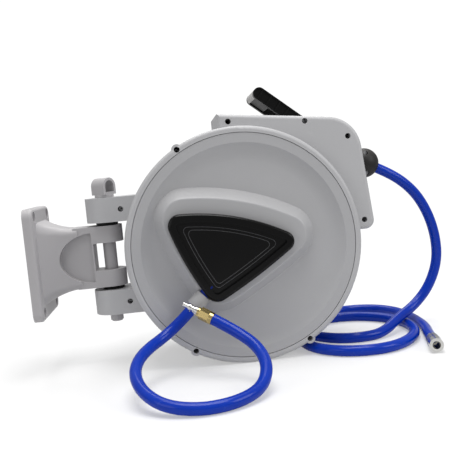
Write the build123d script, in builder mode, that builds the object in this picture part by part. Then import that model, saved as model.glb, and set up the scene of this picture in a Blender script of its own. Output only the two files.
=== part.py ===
from build123d import *

"""Wall-mounted, spring-rewind air hose reel.

Frame: origin at the middle of the wall plate's back face, +X away from the wall, +Z up along the
swivel hinge, and the drum's axis along Y with its front face towards -Y. Millimetres.
"""

from math import cos, pi, radians, sin, tan
import os

# ---- wall bracket -------------------------------------------------------------------------
PLATE_T = 13.0            # wall plate thickness
PLATE_W = 122.0           # wall plate width along Y
PLATE_H = 150.0           # wall plate height
PLATE_CORNER = 12.0       # corner radius of the wall plate
HOLE_SPACING_Y = 90.0     # wall screw pattern
HOLE_SPACING_Z = 128.0
HOLE_R = 4.0              # wall screw hole
HOLE_SINK_R = 7.5         # screw head recess
HOLE_SINK_D = 4.0
HINGE_X = 102.0           # swivel hinge axis from the wall
NECK_HALF_Z = 42.0        # neck of the bracket between the foot and the knuckles
NECK_HALF_Y = 22.0
NECK_X = 62.0
HORN_SECTIONS = (         # flared foot of the bracket: distance out, half sizes and corner
    (PLATE_T, 44.0, 56.0, 14.0),
    (22.0, 36.0, 51.0, 13.0),
    (34.0, 28.5, 46.5, 11.0),
    (47.0, 24.0, 43.2, 9.0),
    (NECK_X, NECK_HALF_Y, NECK_HALF_Z, 8.0),
)
POCKET_HALF = 34.0        # arched recess: half height at its mouth, and its tip's distance out
POCKET_TIP = 36.0
POCKET_MOUTH = 80.0
KNUCKLE_R = 20.0          # knuckles around the hinge pin
KNUCKLE_INNER_Z = 19.0    # window between the two knuckles
ARM_GAP_HALF = 46.8       # inner faces of the casing arms
KNUCKLE_PLAY = 0.4        # gap between a knuckle bush and an arm
POCKET_DEPTH = 5.0        # arched recess in each side of the horn

# ---- hinge pin ----------------------------------------------------------------------------
PIN_R = 9.0
PIN_FIT = 0.08            # radial running clearance of the pin
BUSH_T = 2.0              # wall of a knuckle bush
BUSH_FLANGE_R = 15.0
PIN_BELOW = 13.0          # length of pin that shows under the lower arm
PIN_HEAD_R = 13.0
PIN_HEAD_T = 3.5
PIN_GAP = 0.4             # head above the upper arm
PULL_W = 23.0             # finger pull on top of the pin: span, height, wall and depth
PULL_H = 23.0
PULL_T = 3.5
PULL_DEPTH = 24.0
PULL_TURN = 40.0          # its mouth faces so far round from +X towards the front

# ---- casing -------------------------------------------------------------------------------
DRUM_X = 283.0            # drum axis from the wall
DRUM_Z = 3.0              # drum axis above the hinge's middle
CASE_R = 155.0
CASE_HALF = 85.0          # half the drum casing's width along Y
WALL = 3.0
RIM_ROUND = 4.5
DISC_R = 147.0            # front disc inside the rim
DISC_GAP = 0.8
DISC_STEP = 4.0           # disc seat below the rim
SEAT_W = 12.0             # width of the seat under the disc's edge
ARM_T = 33.5              # height of each arm
ARM_HALF = 27.0           # half the arm's width, and its end radius
LEAD_SLOPE = 6.0          # fall of the hose path from the winding to the outlet, degrees
LEAD_R = 111.4            # centre of the outermost turn of hose
BOX_HALF = 70.0           # half the outlet box's width along Y
BOX_LEFT = -20.0          # outlet box, from the drum's axis
BOX_TOP = 173.0           # top edge of the box at its left end
BOX_RIGHT = 164.0         # right end of the top edge
BOX_BOTTOM = 5.0
BOX_FOOT_CORNER = 12.0
BOX_LEAN = 6.0            # outward lean of the outlet face towards its foot, degrees
BOX_CORNER = 46.0
BOX_ROUND = 5.0

# ---- casing screws ------------------------------------------------------------------------
POST_R = 7.0
WELL_R = 3.8              # screw well, open at the front
SHANK_R = 2.0
SCREW_HEAD_R = 3.4
SCREW_HEAD_T = 3.0
SEAT_Y = 9.0              # screw head seat in front of the middle plane
SCREW_BITE = 18.0         # thread length behind the middle plane
RIM_SCREW_R = 151.5
RIM_SCREW_ANGLES = (120.0, 240.0, 300.0)
BOX_SCREWS = ((-6.3, 162.0), (150.0, 130.3), (164.5, 18.1))
ARM_SCREW_X = 124.5

# ---- hoses --------------------------------------------------------------------------------
HOSE_R = 7.25
HOSE_BORE = 4.8
FLOOR_Z = DRUM_Z - CASE_R

# ---- front of the casing ------------------------------------------------------------------
RING_W = 13.0             # flat ring at the disc's edge
DISH_R = 112.0            # dished middle of the disc
DISH_DEPTH = 7.0
DISC_T = 3.0
COVER_GAP = 0.2           # collar's clearance to the hub cover
PLATEAU_TOP = 97.0        # raised pad under the hub cover, in front of the middle plane
PLATEAU_GROW = 12.0       # pad beyond the cover at its top
PLATEAU_FLARE = 13.0      # further spread of the pad at its foot
PLATEAU_SHIFT = (6.0, 7.0)
COVER_TOP = 110.0
COVER_BEAD = 10.0         # width of the raised bead of the hub cover
COVER_SINK = 5.5          # groove of the cover below its bead
COVER_STEP = 1.5          # field of the cover above the groove
COVER_STEP_IN = 3.5       # width of the groove
COVER_ROUND = 4.0
COVER_WALL = 3.0
COVER_LEFT = (-101.0, 49.5)
COVER_RIGHT = (72.0, 5.0)
COVER_FOOT = (-47.0, -70.0)
COVER_BULGE_TOP = (-5.0, 39.5)
COVER_BULGE_SIDE = (14.0, -35.5)
COVER_BULGE_BACK = (-80.0, -11.0)
COVER_CORNERS = (15.0, 13.0, 16.0)
LEAST_CORNER = 2.0
CLAMP_START = 17.0
CLAMP_END = 26.0
CLAMP_T = 0.9
INLET_ANGLE = -136.5      # direction in which the inlet hose leaves the hub
COLLAR_START = 89.0
COLLAR_END = 100.0
COLLAR_R = 10.5
FIRST_INLET_RUN = 26.0    # first run of each free hose, straight out of its exit
FIRST_OUTLET_RUN = 38.0
HOSE_CLEAR = 0.35

# ---- spool --------------------------------------------------------------------------------
SHAFT_R = 9.0
SPOOL_FIT = 0.06
CORE_R = 58.0
CORE_WALL = 3.0
SPOOL_HALF = 60.0
FLANGE_R = 137.0
FLANGE_T = 3.0
FLANGE_SCREW_R = 48.0     # screws that hold the front flange to the core
FLANGE_SCREWS = 6
WEB_T = 4.0
HUB_LEN = 12.0
TURNS_ACROSS = 7          # turns of hose side by side on the spool
TURN_PITCH = 15.3
LAYERS = 4
LAYER_PITCH = 14.6
LEAD_STOP = 3.0           # it ends so far short of the ball's middle
LEAD_CUT = 30.0           # modelled run of hose starts so far from where it leaves the winding
HUB_R = 20.0
SPOOL_BUSH_R = 12.0
SPRING_OUTER_R = 52.0
SPRING_INNER_R = 15.0
SPRING_TURNS = 9
SPRING_T = 1.0
SPRING_W = 30.0
SPRING_FRONT = -15.0
ARBOR_R = 14.4
STEM_START = 28.0         # end of the steel shaft and start of the brass stem
STEM_END = 86.0
ELBOW_R = 10.5
ELBOW_END = 104.5
AIR_R = 4.0
ROTOR_LOW = 36.0
ROTOR_HIGH = 54.0
ROTOR_R = 15.0
NIPPLE_R = 5.0
SEAL_R = 7.4
SEAL_W = 2.4
SEAL_PLACES = (39.0, 51.0)
RATCHET_R = 46.0
RATCHET_TEETH = 16
RATCHET_DEPTH = 5.0
RATCHET_T = 6.0
RATCHET_PHASE = 5.0
RATCHET_GAP = 1.5
REAR_CAP_R = 62.0
REAR_CAP_T = 8.0
PAWL_PIVOT = (0.0, -66.0)
PAWL_PIN_R = 3.0
PAWL_T = 5.0
PAWL_GAP = 0.7
PAWL_TIP = (-15.0, 18.5)  # tip of the pawl from its pivot, clear of the teeth
LATCH_SPRING_LEN = 6.0
LATCH_WIRE_R = 0.5

# ---- fittings on the hoses ------------------------------------------------------------------
HEX_FLATS = 14.0          # brass socket on the inlet hose
SOCKET_CUFF_R = 7.8
SOCKET_CUFF_LEN = 5.0
SOCKET_HEX_LEN = 13.0
SOCKET_NOSE_R = 6.2
SOCKET_NOSE_LEN = 3.5
PLUG_FLANGE_R = 5.6       # plug that screws into the socket
PLUG_BODY_R = 4.1
PLUG_RIDGE_R = 5.2
PLUG_TIP_R = 3.3
PLUG_BORE_R = 2.0
COUPLER_LEN = 38.0
COUPLER_COLLAR_R = 8.4
COUPLER_COLLAR_LEN = 9.0
COUPLER_BODY_R = 6.6
COUPLER_BORE_R = 5.2
COUPLER_GUIDE_LEN = 5.0
SLEEVE_R = 9.0
SLEEVE_BORE_R = 7.6
SLEEVE_START = 13.5
SLEEVE_LIP = 2.5
SLEEVE_FIT = 0.06
COUPLER_WIRE_R = 0.35

# ---- hose outlet --------------------------------------------------------------------------
BALL_R = 21.0
BALL_GAP = 0.4            # ball to the seat in the bezel
BALL_NEST = 3.4           # the ball reaches so far inside the box's face
BEZEL_T = 3.0
BEZEL_R = 24.0
OUTLET_R = 14.5
ROLLER_R = 4.0
ROLLER_PIN_R = 1.5
ROLLER_FIT = 0.06
ROLLER_GAP = 1.2          # roller surface to hose
ROLLER_END_GAP = 0.5
CAGE_T = 3.5
CAGE_LEN = 36.0
CAGE_SIDE = 24.0          # half the cage across and upwards
CAGE_UP = 20.8
CAGE_SHIFT = 6.2          # cage sits higher than the outlet, as the hose comes from above
SIDE_ROLLERS_IN = 12.0    # depth of each pair of rollers behind the outlet wall
FLAT_ROLLERS_IN = 26.0
BALL_SCREW_OUT = 14.0
BALL_SCREW_R = 1.6
BALL_SCREW_HEAD_R = 3.0
BALL_SCREW_SEAT = 9.0     # head seat in front of the ball's middle
EXIT_DROP = 24.0          # fall of the hose where it leaves the ball, degrees

# ---- carry handle -------------------------------------------------------------------------
HANDLE_X = 377.2
HANDLE_SINK = 6.4         # hinge below the box's top
HANDLE_LEN = 67.9         # hinge to the middle of the grip
HANDLE_RISE = 39.0        # slope of the handle as it stands, degrees
HANDLE_R = 8.25
HANDLE_HALF = 42.0
HANDLE_ARM_W = 9.0
HANDLE_ROD_R = 3.0
HANDLE_ROD_IN = 16.0       # rod ends below the box's faces
GRIP_LEN = 22.0
GRIP_T = 1.8
HANDLE_RECESS = 3.0       # ribbed recess in the outer side of each arm
HANDLE_LIP = 2.0
HANDLE_RIBS = (24.0, 38.0, 52.0, 66.0)
HANDLE_FIT = 0.06
HANDLE_PLAY = 1.0
POCKET_FLOOR = 2.5

# ---- values worked out from the sizes above ------------------------------------------------
LEAD_DIR = (cos(radians(LEAD_SLOPE)), -sin(radians(LEAD_SLOPE)))
LEAD_START = (LEAD_R * sin(radians(LEAD_SLOPE)), LEAD_R * cos(radians(LEAD_SLOPE)))
BOX_CORNER_Z = BOX_TOP - (BOX_RIGHT - BOX_LEFT) * tan(radians(LEAD_SLOPE))
BOX_FOOT_X = BOX_RIGHT + (BOX_CORNER_Z - BOX_BOTTOM) * tan(radians(BOX_LEAN))
FACE_OUT = (cos(radians(BOX_LEAN)), sin(radians(BOX_LEAN)))
FACE_TURN = cos(radians(LEAD_SLOPE + BOX_LEAN))
FACE_S = (
    (BOX_RIGHT - LEAD_START[0]) * FACE_OUT[0] + (BOX_CORNER_Z - LEAD_START[1]) * FACE_OUT[1]
) / FACE_TURN
BALL_S = FACE_S + (BALL_R - BALL_NEST) / FACE_TURN
DISC_SEAT = CASE_HALF - DISC_STEP
HOSE_W = PLATEAU_TOP      # inlet hose's centre in front of the middle plane
PIN_BOTTOM = -(ARM_GAP_HALF + ARM_T + PIN_BELOW)
PIN_TOP = ARM_GAP_HALF + ARM_T + PIN_GAP
BOX_TOP_AT_HANDLE = DRUM_Z + BOX_TOP - (HANDLE_X - DRUM_X - BOX_LEFT) * tan(radians(LEAD_SLOPE))
HANDLE_Z = BOX_TOP_AT_HANDLE - HANDLE_SINK

os.makedirs("parts", exist_ok=True)


def finish(piece, name):
    """Label a finished piece and write its STEP file."""
    piece.part.label = name
    export_step(piece.part, f"parts/{name}.step")


def drum_plane(front):
    """Plane square to the drum's axis, so far in front of the middle, facing the front."""
    return Plane(origin=(DRUM_X, -front, DRUM_Z), x_dir=(1, 0, 0), z_dir=(0, -1, 0))


def rear_plane(front):
    """Plane square to the drum's axis, facing the back; its x runs along -X."""
    return Plane(origin=(DRUM_X, -front, DRUM_Z), x_dir=(-1, 0, 0), z_dir=(0, 1, 0))


def lead_plane(along):
    """Plane square to the hose's path, so far along it from where it leaves the winding."""
    origin = (
        DRUM_X + LEAD_START[0] + along * LEAD_DIR[0],
        0,
        DRUM_Z + LEAD_START[1] + along * LEAD_DIR[1],
    )
    return Plane(origin=origin, x_dir=(0, 1, 0), z_dir=(LEAD_DIR[0], 0, LEAD_DIR[1]))


def face_plane(out):
    """Plane of the outlet face where the hose goes through, moved outwards by out."""
    origin = (
        DRUM_X + LEAD_START[0] + FACE_S * LEAD_DIR[0] + out * FACE_OUT[0],
        0,
        DRUM_Z + LEAD_START[1] + FACE_S * LEAD_DIR[1] + out * FACE_OUT[1],
    )
    return Plane(origin=origin, x_dir=(0, 1, 0), z_dir=(FACE_OUT[0], 0, FACE_OUT[1]))


def inlet_plane(along):
    """Plane square to the inlet hose's path under the hub cover, facing outwards."""
    turn = radians(INLET_ANGLE)
    origin = (DRUM_X + along * cos(turn), -HOSE_W, DRUM_Z + along * sin(turn))
    return Plane(origin=origin, x_dir=(0, 1, 0), z_dir=(cos(turn), 0, sin(turn)))


def rim_screw_places():
    """Screw centres around the rim, from the drum's axis."""
    turns = [radians(angle) for angle in RIM_SCREW_ANGLES]
    return [(RIM_SCREW_R * cos(turn), RIM_SCREW_R * sin(turn)) for turn in turns]


def arm_screw_places():
    """Screw centres on the two arms, from the drum's axis."""
    middle = ARM_GAP_HALF + ARM_T / 2
    return [(ARM_SCREW_X - DRUM_X, side * middle - DRUM_Z) for side in (1, -1)]


def screw_places():
    """All casing screws, each with the front face that its well opens in."""
    rim = [(place, CASE_HALF) for place in rim_screw_places()]
    box = [(place, BOX_HALF) for place in BOX_SCREWS]
    arms = [(place, ARM_HALF) for place in arm_screw_places()]
    return rim + box + arms


def box_outline(inset):
    """Side outline of the outlet box, drawn in by inset."""
    with BuildSketch(Plane.XY) as outline:
        with BuildLine():
            Polyline(
                (BOX_LEFT, 0),
                (BOX_LEFT, BOX_TOP),
                (BOX_RIGHT, BOX_CORNER_Z),
                (BOX_FOOT_X, BOX_BOTTOM),
                (BOX_FOOT_X - 30, BOX_BOTTOM),
                (BOX_LEFT + 40, 0),
                close=True,
            )
        make_face()
        fillet(outline.vertices().sort_by(Axis((0, 0, 0), (1, 1, 0)))[-1], BOX_CORNER)
        fillet(outline.vertices().sort_by(Axis.X)[-1], BOX_FOOT_CORNER)
        if inset:
            offset(amount=-inset, kind=Kind.INTERSECTION)
    return outline.sketch


def centre_and_radius(first, second, third):
    """Centre and radius of the circle through three points."""
    (ax, ay), (bx, by), (cx, cy) = first, second, third
    twice_area = 2 * (ax * (by - cy) + bx * (cy - ay) + cx * (ay - by))
    squares = (ax**2 + ay**2, bx**2 + by**2, cx**2 + cy**2)
    x = (squares[0] * (by - cy) + squares[1] * (cy - ay) + squares[2] * (ay - by)) / twice_area
    y = (squares[0] * (cx - bx) + squares[1] * (ax - cx) + squares[2] * (bx - ax)) / twice_area
    return (x, y), ((ax - x) ** 2 + (ay - y) ** 2) ** 0.5


def cover_outline(grow):
    """Rounded, bowed triangle of the hub cover, grown outwards: three large discs overlap in it."""
    sides = (
        centre_and_radius(COVER_LEFT, COVER_BULGE_TOP, COVER_RIGHT),
        centre_and_radius(COVER_RIGHT, COVER_BULGE_SIDE, COVER_FOOT),
        centre_and_radius(COVER_FOOT, COVER_BULGE_BACK, COVER_LEFT),
    )
    rounds = [max(corner + grow, LEAST_CORNER) for corner in COVER_CORNERS]
    with BuildSketch(Plane.XY) as outline:
        with Locations(sides[0][0]):
            Circle(sides[0][1] + grow)
        for centre, radius in sides[1:]:
            with Locations(centre):
                Circle(radius + grow, mode=Mode.INTERSECT)
        fillet(outline.vertices().sort_by(Axis.X)[0], rounds[0])
        fillet(outline.vertices().sort_by(Axis.X)[-1], rounds[1])
        fillet(outline.vertices().group_by(Axis.Y)[0].sort_by(Axis.X)[0], rounds[2])
    return outline.sketch


# ---- wall bracket: plate, flared horn and two knuckles -------------------------------------
with BuildPart() as wall_bracket:
    with BuildSketch(Plane.YZ):
        RectangleRounded(PLATE_W, PLATE_H, PLATE_CORNER)
    extrude(amount=PLATE_T)
    fillet(wall_bracket.faces().sort_by(Axis.X)[-1].outer_wire().edges(), 4)
    for out, half_y, half_z, corner in HORN_SECTIONS:
        with BuildSketch(Plane.YZ.offset(out)):
            RectangleRounded(2 * half_y, 2 * half_z, corner)
    loft()
    with BuildSketch(Plane.XY.offset(-NECK_HALF_Z)):
        with Locations(((NECK_X - 6 + HINGE_X) / 2, 0)):
            Rectangle(HINGE_X - NECK_X + 6, 2 * KNUCKLE_R)
        with Locations((HINGE_X, 0)):
            Circle(KNUCKLE_R)
    extrude(amount=2 * NECK_HALF_Z)
    with BuildSketch(Plane.XY.offset(-KNUCKLE_INNER_Z)):
        with Locations((HINGE_X + 3, 0)):
            Rectangle(2 * KNUCKLE_R + 6, 2 * KNUCKLE_R + 2)
    extrude(amount=2 * KNUCKLE_INNER_Z, mode=Mode.SUBTRACT)
    with BuildSketch(Plane.XY.offset(-NECK_HALF_Z)):
        with Locations((HINGE_X, 0)):
            Circle(PIN_R + PIN_FIT + BUSH_T)
    extrude(amount=2 * NECK_HALF_Z, mode=Mode.SUBTRACT)
    for side in (1, -1):
        with BuildSketch(Plane.XZ.offset(side * (KNUCKLE_R - POCKET_DEPTH))):
            with Locations((POCKET_MOUTH, 0)):
                Ellipse(POCKET_MOUTH - POCKET_TIP, POCKET_HALF)
                Rectangle(
                    POCKET_HALF * 2, POCKET_HALF * 2, align=(Align.MIN, Align.CENTER), mode=Mode.SUBTRACT
                )
        extrude(amount=side * PLATE_W / 2, mode=Mode.SUBTRACT)
    with Locations(Plane.YZ.offset(PLATE_T)):
        with GridLocations(HOLE_SPACING_Y, HOLE_SPACING_Z, 2, 2):
            CounterBoreHole(HOLE_R, HOLE_SINK_R, HOLE_SINK_D)
finish(wall_bracket, "wall_bracket")

KNUCKLE_SPANS = (
    (KNUCKLE_INNER_Z, NECK_HALF_Z, 1),
    (-NECK_HALF_Z, -KNUCKLE_INNER_Z, -1),
)
with BuildPart() as knuckle_bushes:
    for low, high, outer_side in KNUCKLE_SPANS:
        with BuildSketch(Plane.XY.offset(low)):
            with Locations((HINGE_X, 0)):
                Circle(PIN_R + PIN_FIT + BUSH_T)
                Circle(PIN_R + PIN_FIT, mode=Mode.SUBTRACT)
        extrude(amount=high - low)
        outer_face = high if outer_side > 0 else low
        flange_t = ARM_GAP_HALF - KNUCKLE_PLAY - NECK_HALF_Z
        with BuildSketch(Plane.XY.offset(outer_face)):
            with Locations((HINGE_X, 0)):
                Circle(BUSH_FLANGE_R)
                Circle(PIN_R + PIN_FIT, mode=Mode.SUBTRACT)
        extrude(amount=outer_side * flange_t)
finish(knuckle_bushes, "knuckle_bushes")

# ---- hinge pin and its finger pull ---------------------------------------------------------
with BuildPart() as hinge_pin:
    with BuildSketch(Plane.XY.offset(PIN_BOTTOM)):
        with Locations((HINGE_X, 0)):
            Circle(PIN_R)
    extrude(amount=PIN_TOP - PIN_BOTTOM)
    chamfer(hinge_pin.edges().group_by(Axis.Z)[0], 2)
    with BuildSketch(Plane.XY.offset(PIN_TOP)):
        with Locations((HINGE_X, 0)):
            Circle(PIN_HEAD_R)
    extrude(amount=PIN_HEAD_T)
finish(hinge_pin, "hinge_pin")

pull_turn = radians(PULL_TURN)
pull_foot = PIN_TOP + PIN_HEAD_T
pull_plane = Plane(
    origin=(HINGE_X, 0, pull_foot),
    x_dir=(sin(pull_turn), cos(pull_turn), 0),
    z_dir=(cos(pull_turn), -sin(pull_turn), 0),
)
arch_foot = PULL_H - PULL_W / 2
with BuildPart() as pin_pull:
    with BuildSketch(pull_plane):
        with Locations((0, arch_foot)):
            Circle(PULL_W / 2)
            Rectangle(PULL_W, arch_foot, align=(Align.CENTER, Align.MAX))
            Circle(PULL_W / 2 - PULL_T, mode=Mode.SUBTRACT)
            Rectangle(
                PULL_W - 2 * PULL_T,
                arch_foot - PULL_T,
                align=(Align.CENTER, Align.MAX),
                mode=Mode.SUBTRACT,
            )
    extrude(amount=PULL_DEPTH / 2, both=True)
finish(pin_pull, "pin_pull")

# ---- casing blank: the outer form that both shells are cut from ----------------------------
with BuildPart() as box_blank:
    extrude(drum_plane(-BOX_HALF) * box_outline(0), amount=2 * BOX_HALF)
    fillet(box_blank.edges().group_by(Axis.Y)[0] + box_blank.edges().group_by(Axis.Y)[-1], BOX_ROUND)

with BuildPart() as casing_blank:
    with BuildSketch(drum_plane(-CASE_HALF)):
        Circle(CASE_R)
    extrude(amount=2 * CASE_HALF)
    fillet(casing_blank.edges(), RIM_ROUND)
    add(box_blank.part)
    with BuildSketch(drum_plane(-CASE_HALF + 2)):
        with Locations(*rim_screw_places()):
            Circle(POST_R)
    extrude(amount=2 * CASE_HALF - 4)
    for low in (ARM_GAP_HALF, -ARM_GAP_HALF - ARM_T):
        with BuildSketch(Plane.XY.offset(low)):
            with Locations((HINGE_X, 0)):
                Circle(ARM_HALF)
            with Locations((HINGE_X + ARM_HALF + 7, 0)):
                Rectangle(2 * ARM_HALF + 14, 2 * ARM_HALF)
        extrude(amount=ARM_T)

with BuildPart() as casing_hollow:
    with BuildSketch(drum_plane(-CASE_HALF + WALL)):
        Circle(CASE_R - WALL)
    extrude(amount=2 * (CASE_HALF - WALL))
    extrude(drum_plane(-BOX_HALF + WALL) * box_outline(WALL), amount=2 * (BOX_HALF - WALL))

with BuildPart() as handle_pocket:
    with BuildSketch(Plane.XZ.offset(-HANDLE_HALF - HANDLE_PLAY)):
        with BuildLine():
            turn = radians(LEAD_SLOPE)
            Polyline(
                *[
                    (
                        HANDLE_X + along * cos(turn) + up * sin(turn),
                        HANDLE_Z - along * sin(turn) + up * cos(turn),
                    )
                    for along, up in (
                        (HANDLE_R + HANDLE_PLAY, 2 * HANDLE_R),
                        (HANDLE_R + HANDLE_PLAY, -HANDLE_R - HANDLE_PLAY),
                        (-HANDLE_LEN - HANDLE_R - 2 * HANDLE_PLAY, -HANDLE_R - HANDLE_PLAY),
                        (-HANDLE_LEN - HANDLE_R - 2 * HANDLE_PLAY, 2 * HANDLE_R),
                    )
                ],
                close=True,
            )
        make_face()
    extrude(amount=2 * (HANDLE_HALF + HANDLE_PLAY))

with BuildPart() as pocket_tray:
    offset(handle_pocket.part, amount=POCKET_FLOOR, kind=Kind.INTERSECTION)
    add(casing_blank.part, mode=Mode.INTERSECT)

with BuildPart() as screw_posts:
    with BuildSketch(drum_plane(-CASE_HALF + WALL)):
        with Locations(*rim_screw_places()):
            Circle(POST_R)
    extrude(amount=2 * (CASE_HALF - WALL))
    with BuildSketch(drum_plane(-BOX_HALF + WALL)):
        with Locations(*BOX_SCREWS, (HANDLE_X - DRUM_X, HANDLE_Z - DRUM_Z)):
            Circle(POST_R)
    extrude(amount=2 * (BOX_HALF - WALL))
    add(casing_blank.part, mode=Mode.INTERSECT)

with BuildPart() as outlet_bore:
    with BuildSketch(lead_plane(FACE_S - 25)):
        Circle(OUTLET_R)
    extrude(amount=40)


def pin_bore(radius):
    """Bore through both arms for the hinge pin."""
    with BuildPart() as bore:
        with BuildSketch(Plane.XY.offset(PIN_BOTTOM)):
            with Locations((HINGE_X, 0)):
                Circle(radius)
        extrude(amount=PIN_TOP - PIN_BOTTOM)
    return bore.part


def screw_wells(head_room):
    """Wells and shank holes for the casing screws."""
    with BuildPart() as wells:
        for place, face in screw_places():
            with BuildSketch(drum_plane(SEAT_Y)):
                with Locations(place):
                    Circle(WELL_R)
            extrude(amount=face - SEAT_Y + head_room)
            with BuildSketch(drum_plane(-SCREW_BITE - 1)):
                with Locations(place):
                    Circle(SHANK_R)
            extrude(amount=SCREW_BITE + 1 + SEAT_Y)
    return wells.part


def handle_rod_bore():
    """Bore in the casing for the rod that the handle turns on, open at both faces."""
    with BuildPart() as bore:
        with BuildSketch(Plane.XZ.offset(-BOX_HALF)):
            with Locations((HANDLE_X, HANDLE_Z)):
                Circle(HANDLE_ROD_R)
        extrude(amount=2 * BOX_HALF)
        for side in (1, -1):
            with BuildSketch(Plane.XZ.offset(side * BOX_HALF)):
                with Locations((HANDLE_X, HANDLE_Z)):
                    Circle(WELL_R)
            extrude(amount=-side * HANDLE_ROD_IN)
    return bore.part


# ---- front shell ---------------------------------------------------------------------------
with BuildPart() as front_casing:
    add(casing_blank.part)
    add(casing_hollow.part, mode=Mode.SUBTRACT)
    add(screw_posts.part)
    add(pocket_tray.part)
    split(bisect_by=Plane.XZ, keep=Keep.TOP)
    with BuildSketch(drum_plane(DISC_SEAT - WALL)):
        Circle(CASE_R - WALL / 2)
    extrude(amount=WALL)
    with BuildSketch(drum_plane(DISC_SEAT)):
        Circle(DISC_R)
    extrude(amount=DISC_STEP + 1, mode=Mode.SUBTRACT)
    with BuildSketch(drum_plane(DISC_SEAT - WALL)):
        Circle(DISC_R - SEAT_W)
    extrude(amount=WALL, mode=Mode.SUBTRACT)
    add(handle_pocket.part, mode=Mode.SUBTRACT)
    add(outlet_bore.part, mode=Mode.SUBTRACT)
    add(pin_bore(PIN_R + PIN_FIT), mode=Mode.SUBTRACT)
    add(screw_wells(1), mode=Mode.SUBTRACT)
    add(handle_rod_bore(), mode=Mode.SUBTRACT)
finish(front_casing, "front_casing")

# ---- rear shell with the boss that carries the fixed shaft ----------------------------------
with BuildPart() as rear_casing:
    add(casing_blank.part)
    add(casing_hollow.part, mode=Mode.SUBTRACT)
    add(screw_posts.part)
    add(pocket_tray.part)
    split(bisect_by=Plane.XZ, keep=Keep.BOTTOM)
    with BuildSketch(drum_plane(-CASE_HALF + WALL)):
        Circle(HUB_R)
    extrude(amount=CASE_HALF - WALL - SPOOL_HALF - RATCHET_T - RATCHET_GAP - 1)
    with BuildSketch(drum_plane(-CASE_HALF + WALL)):
        with Locations(PAWL_PIVOT):
            Circle(PAWL_PIN_R + 3)
    extrude(amount=CASE_HALF - WALL - SPOOL_HALF - PAWL_GAP - PAWL_T - LATCH_SPRING_LEN - 2)
    with BuildSketch(drum_plane(-CASE_HALF)):
        Circle(SHAFT_R)
        with Locations(PAWL_PIVOT):
            Circle(PAWL_PIN_R)
    extrude(amount=CASE_HALF, mode=Mode.SUBTRACT)
    add(handle_pocket.part, mode=Mode.SUBTRACT)
    add(outlet_bore.part, mode=Mode.SUBTRACT)
    add(pin_bore(PIN_R + PIN_FIT), mode=Mode.SUBTRACT)
    add(screw_wells(1), mode=Mode.SUBTRACT)
    add(handle_rod_bore(), mode=Mode.SUBTRACT)
    with BuildSketch(rear_plane(-CASE_HALF + WALL)):
        with PolarLocations(REAR_CAP_R - 10, 3, start_angle=30):
            Circle(SHANK_R)
    extrude(amount=WALL + 1, mode=Mode.SUBTRACT)
finish(rear_casing, "rear_casing")

with BuildPart() as casing_screws:
    for place, face in screw_places():
        with BuildSketch(drum_plane(SEAT_Y)):
            with Locations(place):
                Circle(SCREW_HEAD_R)
        extrude(amount=SCREW_HEAD_T)
        with BuildSketch(drum_plane(-SCREW_BITE)):
            with Locations(place):
                Circle(SHANK_R)
        extrude(amount=SCREW_BITE + SEAT_Y)
finish(casing_screws, "casing_screws")

# ---- front disc: flat ring, dished middle and the raised pad under the hub cover ------------
RING_TOP = CASE_HALF - 0.6
DISH_TOP = RING_TOP - DISH_DEPTH
profile_plane = Plane(origin=(DRUM_X, 0, DRUM_Z), x_dir=(1, 0, 0), z_dir=(0, 0, 1))
drum_axis = Axis((DRUM_X, 0, DRUM_Z), (0, 1, 0))

with BuildPart() as hose_channel:
    with BuildSketch(inlet_plane(0)):
        Circle(HOSE_R + HOSE_CLEAR)
    extrude(amount=COLLAR_END + 25)



with BuildPart() as front_disc:
    with BuildSketch(profile_plane):
        with BuildLine():
            ring_in = DISC_R - RING_W
            Polyline((0, -DISC_SEAT + DISH_DEPTH), (0, -DISH_TOP), (DISH_R, -DISH_TOP))
            ThreePointArc(
                (DISH_R, -DISH_TOP),
                ((DISH_R + ring_in) / 2 + 2, -DISH_TOP - DISH_DEPTH / 2 + 1.2),
                (ring_in, -RING_TOP),
            )
            Polyline(
                (ring_in, -RING_TOP),
                (DISC_R - DISC_GAP, -RING_TOP),
                (DISC_R - DISC_GAP, -DISC_SEAT),
                (ring_in, -DISC_SEAT),
                (DISH_R, -DISC_SEAT + DISH_DEPTH),
                (0, -DISC_SEAT + DISH_DEPTH),
            )
        make_face()
    revolve(axis=drum_axis)
    with BuildSketch(drum_plane(DISH_TOP - 0.5)):
        with Locations(PLATEAU_SHIFT):
            add(cover_outline(PLATEAU_GROW + PLATEAU_FLARE))
    with BuildSketch(drum_plane(PLATEAU_TOP)):
        with Locations(PLATEAU_SHIFT):
            add(cover_outline(PLATEAU_GROW))
    loft()
    fillet(front_disc.faces().filter_by(Axis.Y).sort_by(Axis.Y)[0].edges(), 3)
    with BuildSketch(drum_plane(DISC_SEAT - DISH_DEPTH - 1)):
        with Locations(PLATEAU_SHIFT):
            add(cover_outline(PLATEAU_GROW + PLATEAU_FLARE - 4))
    with BuildSketch(drum_plane(PLATEAU_TOP - DISC_T)):
        with Locations(PLATEAU_SHIFT):
            add(cover_outline(PLATEAU_GROW - 4))
    loft(mode=Mode.SUBTRACT)
    with BuildSketch(drum_plane(DISH_TOP - 10)):
        Circle(ELBOW_R)
    extrude(amount=COVER_TOP, mode=Mode.SUBTRACT)
    with BuildSketch(inlet_plane(COLLAR_START - 8)):
        Circle(COLLAR_R)
    extrude(amount=COLLAR_END - COLLAR_START + 8)
    extrude(drum_plane(PLATEAU_TOP) * cover_outline(COVER_GAP), amount=COVER_TOP, mode=Mode.SUBTRACT)
    add(hose_channel.part, mode=Mode.SUBTRACT)
    with BuildSketch(inlet_plane(0)):
        Circle(HOSE_R + CLAMP_T + HOSE_CLEAR)
    extrude(amount=CLAMP_END + 1, mode=Mode.SUBTRACT)
finish(front_disc, "front_disc")

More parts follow.
